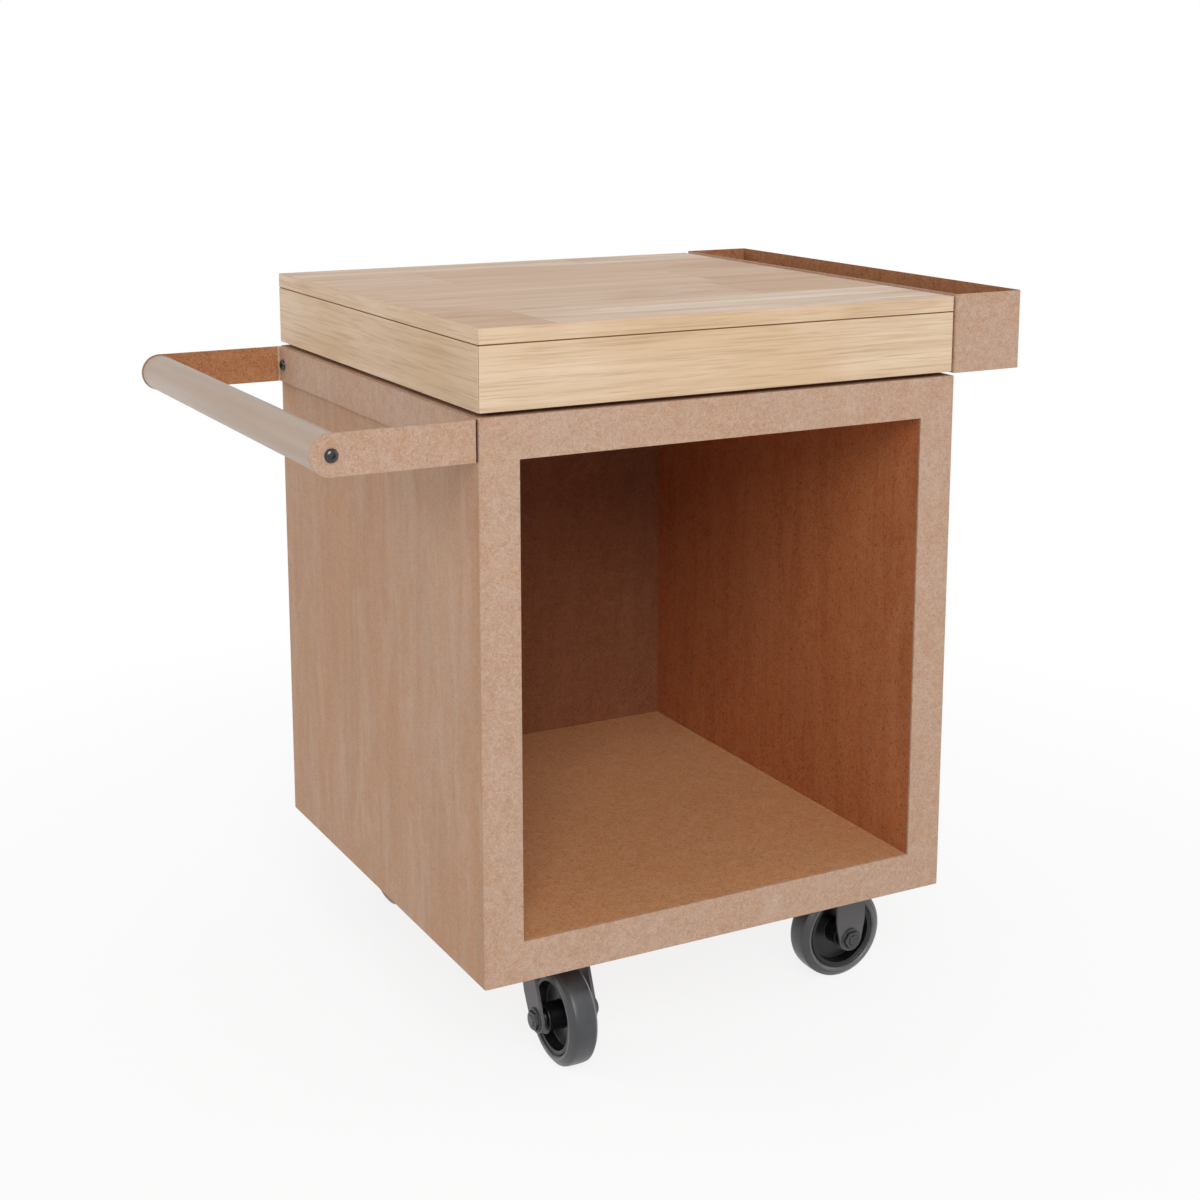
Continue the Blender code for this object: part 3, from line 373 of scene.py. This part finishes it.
def tyre_rubber(name):
    """Grey-black rubber, lighter where it has rolled through dust."""
    g = Graph(name)
    dust = g.ramp(g.noise(38.0, 7.0, 0.68, 0.4), 0.38, 0.70)
    pores = g.noise(1600.0, 2.0, 0.6)
    color = g.mix(g.share(dust, 0.55), (0.036, 0.038, 0.044), (0.062, 0.060, 0.061))
    color = g.mix(g.ramp(pores, 0.60, 0.75, 0.0, 0.3), color, (0.015, 0.015, 0.015))
    normal = g.bump(pores, 0.00005, 0.4)
    return g.finish(color, g.ramp(dust, 0.0, 1.0, 0.30, 0.42), normal, 0.6)


# Each steel finish: tone, warm, pale and dark colours, streaks, and mottle and gloss if not usual
STEEL_LOOKS = {
    "front_steel": (
        (0.435, 0.280, 0.196), (0.430, 0.222, 0.118), (0.56, 0.42, 0.328),
        (0.30, 0.160, 0.095), 0.10),
    # Painted shade: near-black steel for the groove between the handle bracket's bend and the front frame
    "groove_painted_shade": (
        (0.045, 0.018, 0.010), (0.060, 0.020, 0.010), (0.08, 0.032, 0.018),
        (0.02, 0.008, 0.005), 0.0, 1.0, 0.05),
    "inner_steel": (
        (0.300, 0.112, 0.044), (0.350, 0.125, 0.042), (0.46, 0.235, 0.120),
        (0.13, 0.048, 0.020), 0.15, 1.3, 0.15),
    "side_steel": (
        (0.440, 0.252, 0.152), (0.445, 0.212, 0.100), (0.50, 0.355, 0.258),
        (0.30, 0.150, 0.078), 0.46),
    # Painted shade: a darker, redder copy of the steel for the compartment's walls and ceiling
    "liner_steel": (
        (0.42, 0.116, 0.038), (0.50, 0.165, 0.050), (0.54, 0.225, 0.100),
        (0.18, 0.042, 0.014), 0.40, 1.3, 0.12),
    "floor_steel": (
        (0.53, 0.247, 0.104), (0.54, 0.220, 0.080), (0.64, 0.375, 0.205),
        (0.26, 0.105, 0.045), 0.0, 1.2, 0.15),
    # Painted shade: a darker, redder copy of the steel for the back panel's inside face
    "back_inside_painted_shade": (
        (0.185, 0.064, 0.030), (0.23, 0.078, 0.034), (0.30, 0.130, 0.065),
        (0.11, 0.032, 0.013), 0.25, 1.0, 0.12),
}


def make_materials():
    """All finishes by name."""
    wood = ((0.725, 0.560, 0.405), (0.645, 0.470, 0.315), (0.43, 0.270, 0.145))
    steels = {name: weathered_steel(name, *look) for name, look in STEEL_LOOKS.items()}
    return {
        **steels,
        "wood_x": hardwood("frame_wood_x", "x", *wood, 1.0),
        "wood_y": hardwood("frame_wood_y", "y", *wood, 3.0),
        "board": stave_board(
            "board_wood", (0.78, 0.640, 0.515), (0.56, 0.355, 0.215), (0.40, 0.205, 0.092),
            (0.24, 0.13, 0.07)),
        "grip": grip_wood("grip_wood"),
        "black": dark_coat("black_steel", (0.005, 0.006, 0.008), 0.10, 0.7),
        "nut": dark_coat("nut_steel", (0.024, 0.023, 0.024), 0.28, 0.6),
        "fork": dark_coat("fork_paint", (0.082, 0.079, 0.080), 0.42),
        "core": dark_coat("core_plastic", (0.004, 0.004, 0.005), 0.28, 0.4),
        "tyre": tyre_rubber("tyre_rubber"),
        # Painted highlight: a lighter grey rubber for the tyre's bead ring faces
        "bead": dark_coat("bead_painted_highlight", (0.110, 0.108, 0.110), 0.30),
        "spacer": dark_coat("spacer_plastic", (0.12, 0.034, 0.014), 0.7),
    }


# Mesh helpers

def to_object(name, solid, material, matrix=Matrix.Identity(4)):
    """A smooth-shaded object from a bmesh, its place kept in its mesh."""
    solid.transform(matrix)
    mesh = bpy.data.meshes.new(name)
    solid.to_mesh(mesh)
    solid.free()
    mesh.shade_smooth()
    mesh.set_sharp_from_angle(angle=math.radians(SHARP_ANGLE))
    mesh.materials.append(material)
    piece = bpy.data.objects.new(name, mesh)
    bpy.context.scene.collection.objects.link(piece)
    return piece


def fillet(points, radius, steps=3, closed=True):
    """Round each corner of a profile with a short arc-like curve."""
    count = len(points)
    rounded = []
    for i, corner in enumerate(points):
        if not closed and i in (0, count - 1):
            rounded.append(corner)
            continue
        here = Vector(corner)
        back = Vector(points[i - 1]) - here
        ahead = Vector(points[(i + 1) % count]) - here
        cut = min(radius, back.length * 0.45, ahead.length * 0.45)
        start, end = here + back.normalized() * cut, here + ahead.normalized() * cut
        for k in range(steps + 1):
            t = k / steps
            rounded.append(tuple(start.lerp(here, t).lerp(here.lerp(end, t), t)))
    return rounded


def ring_points(radius, sides):
    """Evenly spaced points on a circle round the origin."""
    turns = [math.radians(360 * k / sides) for k in range(sides)]
    return [(radius * math.cos(t), radius * math.sin(t)) for t in turns]


def lathe(profile, sides, closed=True):
    """A bmesh turned about Z from (radius, height) points, outer side first and downwards."""
    solid = bmesh.new()
    rings = []
    for radius, height in profile:
        if radius < 1e-6:
            rings.append([solid.verts.new((0.0, 0.0, height))] * sides)
            continue
        circle = ring_points(radius, sides)
        rings.append([solid.verts.new((x, y, height)) for x, y in circle])
    pairs = list(zip(rings, rings[1:]))
    if closed:
        pairs.append((rings[-1], rings[0]))
    for upper, lower in pairs:
        for k in range(sides):
            n = (k + 1) % sides
            corners = [upper[k], lower[k], lower[n], upper[n]]
            unique = list(dict.fromkeys(corners))
            if len(unique) > 2:
                solid.faces.new(unique)
    bmesh.ops.recalc_face_normals(solid, faces=solid.faces)
    return solid


def prism(outline, low, high):
    """A bmesh from a flat outline in XY, raised from low to high."""
    solid = bmesh.new()
    base = solid.faces.new([solid.verts.new((x, y, low)) for x, y in outline])
    raised = bmesh.ops.extrude_face_region(solid, geom=[base])["geom"]
    tops = [v for v in raised if isinstance(v, bmesh.types.BMVert)]
    bmesh.ops.translate(solid, verts=tops, vec=(0.0, 0.0, high - low))
    bmesh.ops.recalc_face_normals(solid, faces=solid.faces)
    return solid


def arc(centre, radius, start, end, steps):
    """Points along an arc, angles in degrees."""
    turns = [math.radians(start + (end - start) * i / steps) for i in range(steps + 1)]
    return [(centre[0] + radius * math.cos(t), centre[1] + radius * math.sin(t)) for t in turns]


def combine(piece, tool_solid, operation, matrix=Matrix.Identity(4)):
    """Join, cut or intersect a piece with a bmesh, at once."""
    tool = to_object(piece.name + "_tool", tool_solid, piece.data.materials[0], matrix)
    step = piece.modifiers.new("combine", "BOOLEAN")
    step.operation = operation
    step.object = tool
    step.solver = "EXACT"
    bake(piece)
    bpy.data.objects.remove(tool, do_unlink=True)


def bake(piece):
    """Apply every modifier of a piece."""
    depsgraph = bpy.context.evaluated_depsgraph_get()
    mesh = bpy.data.meshes.new_from_object(piece.evaluated_get(depsgraph))
    old = piece.data
    piece.modifiers.clear()
    piece.data = mesh
    mesh.name = piece.name
    bpy.data.meshes.remove(old)


def soften(piece, width, angle=40.0):
    """Round a piece's edges and weight its normals, so flat faces stay flat."""
    bevel = piece.modifiers.new("edges", "BEVEL")
    bevel.width = width
    bevel.segments = 2
    bevel.limit_method = "ANGLE"
    bevel.angle_limit = math.radians(angle)
    bevel.miter_outer = "MITER_ARC"
    bake(piece)
    piece.data.shade_smooth()
    piece.data.set_sharp_from_angle(angle=math.radians(SOFTENED_SHARP_ANGLE))
    weighted = piece.modifiers.new("normals", "WEIGHTED_NORMAL")
    weighted.keep_sharp = True
    weighted.weight = 100


def eased_copy(node, width, material):
    """A CAD node's shape with its edges rounded, standing for that node."""
    solid = bmesh.new()
    solid.from_mesh(frame["nodes"][node].data)
    bmesh.ops.remove_doubles(solid, verts=solid.verts, dist=0.00002)
    bmesh.ops.dissolve_limit(
        solid, angle_limit=math.radians(0.5), verts=solid.verts, edges=solid.edges)
    piece = to_object(node + "_eased", solid, material)
    soften(piece, width)
    stand_for(piece, node)
    return piece


def stand_for(piece, node):
    """Replace a node and ride on its body."""
    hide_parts(node)
    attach(piece, body_of(node))


def body_of(node):
    for body, members in frame["record"]["behaviour"]["bodies"].items():
        if node in members:
            return body
    raise ValueError(node)


# Pieces

def second_finish(piece, material, chosen):
    """Give another finish to the faces that a test picks by centre and normal."""
    piece.data.materials.append(material)
    for face in piece.data.polygons:
        if chosen(face.center, face.normal):
            face.material_index = len(piece.data.materials) - 1


def dress_sheets_and_boards(materials):
    """Every flat sheet and board gets rounded edges and its finish."""
    steel, side, liner = (materials[k] for k in ("front_steel", "side_steel", "liner_steel"))
    eased_copy("front_frame", FRONT_EDGE, steel)
    back = eased_copy("back_panel", STEEL_EDGE, steel)
    # Painted shade: the back panel's inside face, facing into the compartment, gets the darker copy
    second_finish(back, materials["back_inside_painted_shade"], lambda centre, normal: normal.y < -0.9)
    bracket = eased_copy("handle_bracket", STEEL_EDGE, steel)
    # Painted shade: the bend faces that turn toward the cabinet, beside the front frame, get near-black steel
    second_finish(bracket, materials["groove_painted_shade"], lambda centre, normal: (
        abs(normal.y) > 0.15 and normal.x > 0.25))
    arm_inside = GRIP_HIGH.y + 0.001
    side_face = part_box("left_side_panel")[0].x
    second_finish(bracket, materials["inner_steel"], lambda centre, normal: (
        abs(centre.y) < arm_inside and abs(normal.y) > 0.9 and centre.x < side_face - 0.008))
    trough = eased_copy("planter_trough", STEEL_EDGE, steel)
    low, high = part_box("planter_trough")
    second_finish(trough, materials["inner_steel"], lambda centre, normal: (
        low.x + TROUGH_WALL < centre.x < high.x - TROUGH_WALL
        and abs(centre.y) < high.y - TROUGH_WALL and centre.z > low.z + TROUGH_WALL))
    for node in ("left_side_panel", "right_side_panel", "top_panel", "base_plate"):
        eased_copy(node, STEEL_EDGE, side)
    eased_copy("liner_floor", LINER_EDGE, materials["floor_steel"])
    # Painted shade: the liner's walls and ceiling get the darker, redder copy
    for node in ("liner_ceiling", "liner_left_wall", "liner_right_wall"):
        eased_copy(node, LINER_EDGE, liner)
    for node in ("top_frame_front", "top_frame_rear"):
        eased_copy(node, WOOD_EDGE, materials["wood_x"])
    for node in ("top_frame_left", "top_frame_right"):
        eased_copy(node, WOOD_EDGE, materials["wood_y"])
    for end in ("front", "rear"):
        for side_name in ("left", "right"):
            block = "corner_block_" + end + "_" + side_name
            eased_copy(block, BLOCK_EDGE, materials["wood_x"])
        eased_copy("top_spacer_" + end, STEEL_EDGE, materials["spacer"])
        eased_copy("planter_spacer_" + end, SMALL_EDGE, materials["spacer"])
    board = eased_copy("cutting_board", WOOD_EDGE, materials["board"])
    second_finish(board, materials["wood_x"], lambda centre, normal: abs(normal.y) > 0.6)
    second_finish(board, materials["wood_y"], lambda centre, normal: abs(normal.x) > 0.6)
    for side_name in ("left", "right"):
        eased_copy("board_batten_" + side_name, BATTEN_EDGE, materials["wood_y"])


def make_grip(material):
    """The round grip, turned smooth and softly rounded at its ends."""
    radius = (GRIP_HIGH.z - GRIP_LOW.z) / 2
    half = (GRIP_HIGH.y - GRIP_LOW.y) / 2
    profile = [(0.0, half), (radius, half), (radius, -half), (0.0, -half)]
    solid = lathe(fillet(profile, 0.002, 4, False), ROUND_SIDES * 2, False)
    centre = (GRIP_LOW + GRIP_HIGH) / 2
    piece = to_object("grip_rod", solid, material, Matrix.Translation(centre) @ AXIS_Y)
    stand_for(piece, "handle_grip")


# A button head's outline, as shares of its radius and its height, crown first
BUTTON_HEAD = ((0.0, 0.0), (0.48, 0.02), (0.80, 0.28), (0.97, 0.68), (1.0, 1.0))


def make_button_bolt(node, outward, material):
    """A button-head bolt with a rounded head and a hex socket, facing outward."""
    low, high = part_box(node)
    outward = Vector(outward)
    length = abs((high - low).dot(outward))
    head_radius = sorted(high - low)[1] / 2
    head_height = head_radius * 0.56
    shank = head_radius * 0.5
    tip = (low + high) / 2 + outward * length / 2
    seat = -head_height
    dome = [(head_radius * out, -head_height * down) for out, down in BUTTON_HEAD]
    profile = fillet(dome + [(shank, seat), (shank, -length), (0.0, -length)], 0.0008, 3, False)
    piece = to_object(node + "_fine", lathe(profile, BOLT_SIDES, False), material)
    hexagon = ring_points(head_radius * 0.42, 6)
    combine(piece, prism(hexagon, -head_height * 0.6, head_height), "DIFFERENCE")
    turn = Vector((0.0, 0.0, 1.0)).rotation_difference(outward).to_matrix().to_4x4()
    piece.data.transform(Matrix.Translation(tip) @ turn)
    piece.data.shade_smooth()
    piece.data.set_sharp_from_angle(angle=math.radians(SHARP_ANGLE))
    stand_for(piece, node)


def make_bolts(material):
    for end, outward in (("front", (0, -1, 0)), ("rear", (0, 1, 0))):
        make_button_bolt("grip_bolt_" + end, outward, material)
        make_button_bolt("bracket_bolt_" + end, (-1, 0, 0), material)
        make_button_bolt("planter_bolt_" + end, (1, 0, 0), material)


def caster_frame(name):
    """A caster's frame over its swivel axis or axle, nut towards -Y, its trail and radius."""
    low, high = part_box(name + "_tyre")
    wheel = (low + high) / 2
    nut = sum(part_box(name + "_axle_nut"), Vector()) / 2
    heading = math.atan2(nut.y - wheel.y, nut.x - wheel.x) + math.pi / 2
    joint = joints.get(name + "_swivel_turn")
    pivot = Vector(joint["pos_m"]) if joint else wheel
    trail = math.hypot(wheel.x - pivot.x, wheel.y - pivot.y)
    matrix = Matrix.Translation((pivot.x, pivot.y, 0.0)) @ Matrix.Rotation(heading, 4, "Z")
    return matrix, trail, wheel.z


def tangent_angle(corner, side):
    """Where a straight leg edge from a corner meets the leg's round end, in degrees."""
    opening = math.degrees(math.acos(LEG_END_RADIUS / math.hypot(*corner)))
    return math.degrees(math.atan2(corner[1], corner[0])) - side * opening


def swivel_side_view(trail, radius, crown, top):
    """Side outline of a swivel caster's fork, its legs raked back to the kingpin."""
    half = CROWN_LENGTH / 2
    around = [SWIVEL_LEG_NEAR, SWIVEL_LEG_FAR, SWIVEL_LEG_BEND]
    near, far, bend = [(trail + x, radius + z) for x, z in around]
    start, end = tangent_angle(SWIVEL_LEG_BEND, -1), tangent_angle(SWIVEL_LEG_NEAR, 1) + 360
    side = arc((trail, radius), LEG_END_RADIUS, start, end, 24)
    side += [near, (half, crown - CROWN_DEPTH / 2), (half, top)]
    side += [(-half, top), (-half, crown - CROWN_DEPTH), far, bend]
    return side


def fixed_side_view(radius, crown):
    """Side outline of a fixed caster's fork, its legs straight under the plate."""
    half = CROWN_LENGTH / 2
    width, shoulder = FIXED_LEG_NEAR
    end = tangent_angle(FIXED_LEG_NEAR, 1) + 360
    right = [(width, radius + shoulder), (width, crown - 2 * CROWN_DEPTH)]
    right += [(half, crown - CROWN_DEPTH), (half, crown + CROWN_DEPTH)]
    side = arc((0.0, radius), LEG_END_RADIUS, 540 - end, end, 24)
    return side + right + [(-x, z) for x, z in reversed(right)]


def make_fork(name, matrix, trail, radius, material):
    """The pressed fork with fine bends, cut to its side view, and a swivel caster's turned race."""
    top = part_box(name + "_fork")[1].z
    crown = top - RACE_HEIGHT if trail else top
    outer = LEG_INNER_FACE + FORK_THICKNESS
    bend = FORK_BEND_RADIUS
    inner_bend = bend - FORK_THICKNESS
    section = [(outer, 0.0)] + arc((outer - bend, crown - bend), bend, 0, 90, 8)
    section += arc((bend - outer, crown - bend), bend, 90, 180, 8)
    section += [(-outer, 0.0), (-LEG_INNER_FACE, 0.0)]
    section += arc((bend - outer, crown - bend), inner_bend, 180, 90, 6)
    section += arc((outer - bend, crown - bend), inner_bend, 90, 0, 6) + [(LEG_INNER_FACE, 0.0)]
    along = Matrix(((0, 0, 1, 0), (1, 0, 0, 0), (0, 1, 0, 0), (0, 0, 0, 1)))
    piece = to_object(name + "_fork_fine", prism(section, -FORK_REACH, FORK_REACH), material, along)
    side = swivel_side_view(trail, radius, crown, top) if trail else fixed_side_view(radius, crown)
    combine(piece, prism(side, -2 * outer, 2 * outer), "INTERSECT", AXIS_Y)
    if trail:
        waist = RACE_RADIUS * 0.8
        race = [(0.0, top), (RACE_RADIUS, top), (RACE_RADIUS, top - RACE_BAND)]
        race += [(waist, crown + 0.0032), (waist, crown - 0.0015), (0.0, crown - 0.0015)]
        combine(piece, lathe(fillet(race, 0.0006, 2, False), ROUND_SIDES, False), "UNION")
        pin = [(PIN_HOLE_RADIUS, 0.2), (PIN_HOLE_RADIUS, 0.05), (0.0, 0.05), (0.0, 0.2)]
        combine(piece, lathe(pin, ROUND_SIDES), "DIFFERENCE")
    hole = AXLE_RADIUS + RUNNING_GAP
    bore = lathe([(0.0, 0.1), (hole, 0.1), (hole, -0.1), (0.0, -0.1)], BOLT_SIDES, False)
    combine(piece, bore, "DIFFERENCE", Matrix.Translation((trail, 0.0, radius)) @ AXIS_Y)
    soften(piece, FORK_EDGE, 50.0)
    piece.data.transform(matrix)
    stand_for(piece, name + "_fork")


def make_axle(name, matrix, trail, radius, material):
    """The axle bolt and its flanged nut, with chamfered hexagons and a rounded tip."""
    place = matrix @ Matrix.Translation((trail, 0.0, radius)) @ AXIS_Y
    seat = LEG_INNER_FACE + FORK_THICKNESS + RUNNING_GAP
    nut_top = seat + NUT_HEIGHT
    tip = nut_top + 0.001
    head = -seat - BOLT_HEAD_HEIGHT
    bolt = chamfered_hexagon(name + "_axle_bolt_fine", BOLT_HEAD_RADIUS, head, -seat, material)
    shank = [(0.0, tip), (AXLE_RADIUS, tip), (AXLE_RADIUS, -seat - 0.003), (0.0, -seat - 0.003)]
    combine(bolt, lathe(fillet(shank, 0.0008, 3, False), BOLT_SIDES, False), "UNION")
    seat_fastener(bolt, place, name + "_axle_bolt")

    bore = AXLE_RADIUS + RUNNING_GAP
    foot = seat + 0.0009
    nut = chamfered_hexagon(name + "_axle_nut_fine", NUT_RADIUS, foot, nut_top, material)
    rim = NUT_FLANGE_RADIUS
    brim = seat + NUT_FLANGE_HEIGHT
    flange = [(0.0, brim), (rim - 0.0010, brim), (rim, seat + 0.0008)]
    flange += [(rim, seat), (0.0, seat)]
    combine(nut, lathe(flange, ROUND_SIDES, False), "UNION")
    drill = [(0.0, 0.06), (bore, 0.06), (bore, 0.0), (0.0, 0.0)]
    combine(nut, lathe(drill, BOLT_SIDES, False), "DIFFERENCE")
    seat_fastener(nut, place, name + "_axle_nut")


def seat_fastener(piece, place, node):
    """Ease a fastener's edges, put it in its place and let it stand for its node."""
    soften(piece, SMALL_EDGE, 32.0)
    piece.data.transform(place)
    stand_for(piece, node)


def chamfered_hexagon(name, radius, low, high, material):
    """A hexagonal nut or head whose corners are turned down at both ends."""
    piece = to_object(name, prism(ring_points(radius, 6), low, high), material)
    flat = radius * math.cos(math.radians(30)) * 0.97
    drop = (radius - flat) * 0.55
    wide = radius + 0.0001
    turning = [(0.0, high), (flat, high), (wide, high - drop), (wide, low + drop)]
    turning += [(flat, low), (0.0, low)]
    combine(piece, lathe(turning, ROUND_SIDES, False), "INTERSECT")
    return piece


def make_wheel(name, matrix, trail, radius, materials):
    """The deep core with its capped hub, and the tyre with slanted shoulders and a bead ring."""
    place = matrix @ Matrix.Translation((trail, 0.0, radius)) @ AXIS_Y
    low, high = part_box(name + "_tyre")
    half = min(high.x - low.x, high.y - low.y) / 2
    right = [(radius, 0.0), (radius - 0.0003, -0.009), (radius - 0.0009, -0.013)]
    right += [(radius - 0.0065, -0.0175)]
    right += [(0.0532, -half + 0.0008), (0.0522, -half), (0.0505, -half), (0.0494, -half + 0.0012)]
    right += [(0.0486, -0.0172), (0.0480, -0.0155), (RIM_RADIUS + RUNNING_GAP, -0.0150)]
    left = [(r, -h) for r, h in reversed(right[1:])]
    turned = lathe(fillet(right + left, 0.0009, 3), WHEEL_SIDES)
    tyre = to_object(name + "_tyre_fine", turned, materials["tyre"], place)
    hub = place.to_translation()
    axis = (place.to_3x3() @ Vector((0.0, 0.0, 1.0))).normalized()
    # Painted highlight: the bead ring's side faces get the lighter grey rubber
    second_finish(tyre, materials["bead"], lambda centre, normal: (
        (centre - hub).cross(axis).length < 0.0527 and abs(normal.dot(axis)) > 0.5))
    stand_for(tyre, name + "_tyre")

    bore = AXLE_RADIUS + RUNNING_GAP
    inner = RIM_RADIUS - RIM_THICKNESS
    cap = HUB_CAP_FACE - 0.003
    web = 0.0025
    upper = [(RIM_RADIUS, RIM_HALF_WIDTH), (RIM_RADIUS, -RIM_HALF_WIDTH), (inner, -RIM_HALF_WIDTH)]
    upper += [(inner - 0.002, -web), (HUB_RADIUS + 0.001, -web), (HUB_RADIUS, -cap)]
    upper += [(HUB_CAP_RADIUS, -cap), (HUB_CAP_RADIUS, -HUB_CAP_FACE)]
    upper += [(HUB_BOSS_RADIUS, -HUB_CAP_FACE)]
    upper += [(HUB_BOSS_RADIUS, -HUB_HALF_LENGTH), (bore, -HUB_HALF_LENGTH)]
    lower = [(r, -h) for r, h in reversed(upper[2:])]
    turned = lathe(fillet(upper + lower, 0.0008, 3), WHEEL_SIDES)
    core = to_object(name + "_core_fine", turned, materials["core"], place)
    stand_for(core, name + "_wheel_core")


def make_casters(materials):
    for name in CASTERS:
        matrix, trail, radius = caster_frame(name)
        make_fork(name, matrix, trail, radius, materials["fork"])
        make_axle(name, matrix, trail, radius, materials["nut"])
        make_wheel(name, matrix, trail, radius, materials)
        eased_copy(name + "_caster_plate", SMALL_EDGE, materials["fork"])
        make_plate_bolts(name, materials["nut"])


def make_plate_bolts(name, material):
    """Hex heads under the mounting plate's four holes."""
    low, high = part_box(name + "_caster_plate")
    seat = high.z - PLATE_THICKNESS - RUNNING_GAP
    centre = (low + high) / 2
    reach_x, reach_y = PLATE_HOLE_HALF_SPACING
    places = [(i * reach_x, j * reach_y) for i in (-1, 1) for j in (-1, 1)]
    for number, (x, y) in enumerate(places, 1):
        bolt_name = name + "_plate_bolt_" + str(number)
        foot = seat - PLATE_BOLT_HEIGHT
        bolt = chamfered_hexagon(bolt_name, PLATE_BOLT_RADIUS, foot, seat, material)
        soften(bolt, SMALL_EDGE, 32.0)
        bolt.data.transform(Matrix.Translation((centre.x + x, centre.y + y, 0.0)))
        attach(bolt, "table")


# Stage

def make_floor():
    """A plain pale floor that stays white to the camera and keeps the shadow."""
    corners = [(-1, -1), (1, -1), (1, 1), (-1, 1)]
    square = [(x * FLOOR_REACH, y * FLOOR_REACH) for x, y in corners]
    solid = prism(square, -0.02, -0.0002)
    g = Graph("pale_floor")
    g.surface.inputs["Base Color"].default_value = (0.88, 0.88, 0.88, 1.0)
    g.surface.inputs["Roughness"].default_value = 0.9
    glow = g.add("Emission", {"Color": (1.0, 1.0, 1.0, 1.0), "Strength": 1.0}).outputs[0]
    away = g.vector("LENGTH", g.place, (0.0, 0.0, 0.0))
    glow_share = g.ramp(away, 0.45, 1.7, FLOOR_GLOW, 1.0)
    share = g.math("MULTIPLY", seen_or_mirrored(g.tree), glow_share)
    blend = g.add("MixShader", {0: share, 1: g.surface.outputs[0], 2: glow})
    g.feed(g.tree.nodes["Material Output"].inputs["Surface"], blend.outputs[0])
    floor = to_object("floor", solid, g.material)


def make_world():
    """Even studio light, seen as plain white by the camera."""
    world = bpy.data.worlds.new("studio")
    bpy.context.scene.world = world
    world.use_nodes = True
    tree = world.node_tree
    background = tree.nodes["Background"]
    background.inputs["Color"].default_value = (1.0, 1.0, 1.0, 1.0)
    strength = tree.nodes.new("ShaderNodeMapRange")
    strength.inputs["To Min"].default_value = WORLD_LIGHT
    strength.inputs["To Max"].default_value = 1.0
    tree.links.new(seen_or_mirrored(tree), strength.inputs["Value"])
    tree.links.new(strength.outputs[0], background.inputs["Strength"])


def seen_or_mirrored(tree):
    """1 for camera, glossy and transmission rays, which show the plain white background."""
    rays = tree.nodes.new("ShaderNodeLightPath").outputs
    share = rays["Is Camera Ray"]
    for name in ("Is Glossy Ray", "Is Transmission Ray"):
        either = tree.nodes.new("ShaderNodeMath")
        either.operation = "MAXIMUM"
        tree.links.new(share, either.inputs[0])
        tree.links.new(rays[name], either.inputs[1])
        share = either.outputs[0]
    return share


def make_lamp(name, place, size, power):
    """A large soft square lamp pointing at the cabinet."""
    lamp = bpy.data.lights.new(name, "AREA")
    lamp.size = size
    lamp.energy = power
    holder = bpy.data.objects.new(name, lamp)
    bpy.context.scene.collection.objects.link(holder)
    holder.location = place
    aim = Vector(LAMP_TARGET) - Vector(place)
    holder.rotation_euler = aim.to_track_quat("-Z", "Y").to_euler()


def make_camera():
    """The camera at the photograph's viewing angle, its shift small enough for other views."""
    camera = bpy.data.cameras.new("camera")
    camera.lens = CAMERA_LENS
    camera.sensor_width = CAMERA_SENSOR
    camera.shift_y = CAMERA_SHIFT
    holder = bpy.data.objects.new("camera", camera)
    bpy.context.scene.collection.objects.link(holder)
    holder.location = CAMERA_PLACE
    holder.rotation_euler = (math.radians(90 - CAMERA_PITCH), 0.0, math.radians(-CAMERA_YAW))
    bpy.context.scene.camera = holder


def make_stage():
    make_floor()
    make_world()
    for lamp in LAMPS:
        make_lamp(*lamp)
    make_camera()
    bpy.context.scene.view_settings.view_transform = "Standard"


finishes = make_materials()
dress_sheets_and_boards(finishes)
make_grip(finishes["grip"])
make_bolts(finishes["black"])
make_casters(finishes)
make_stage()
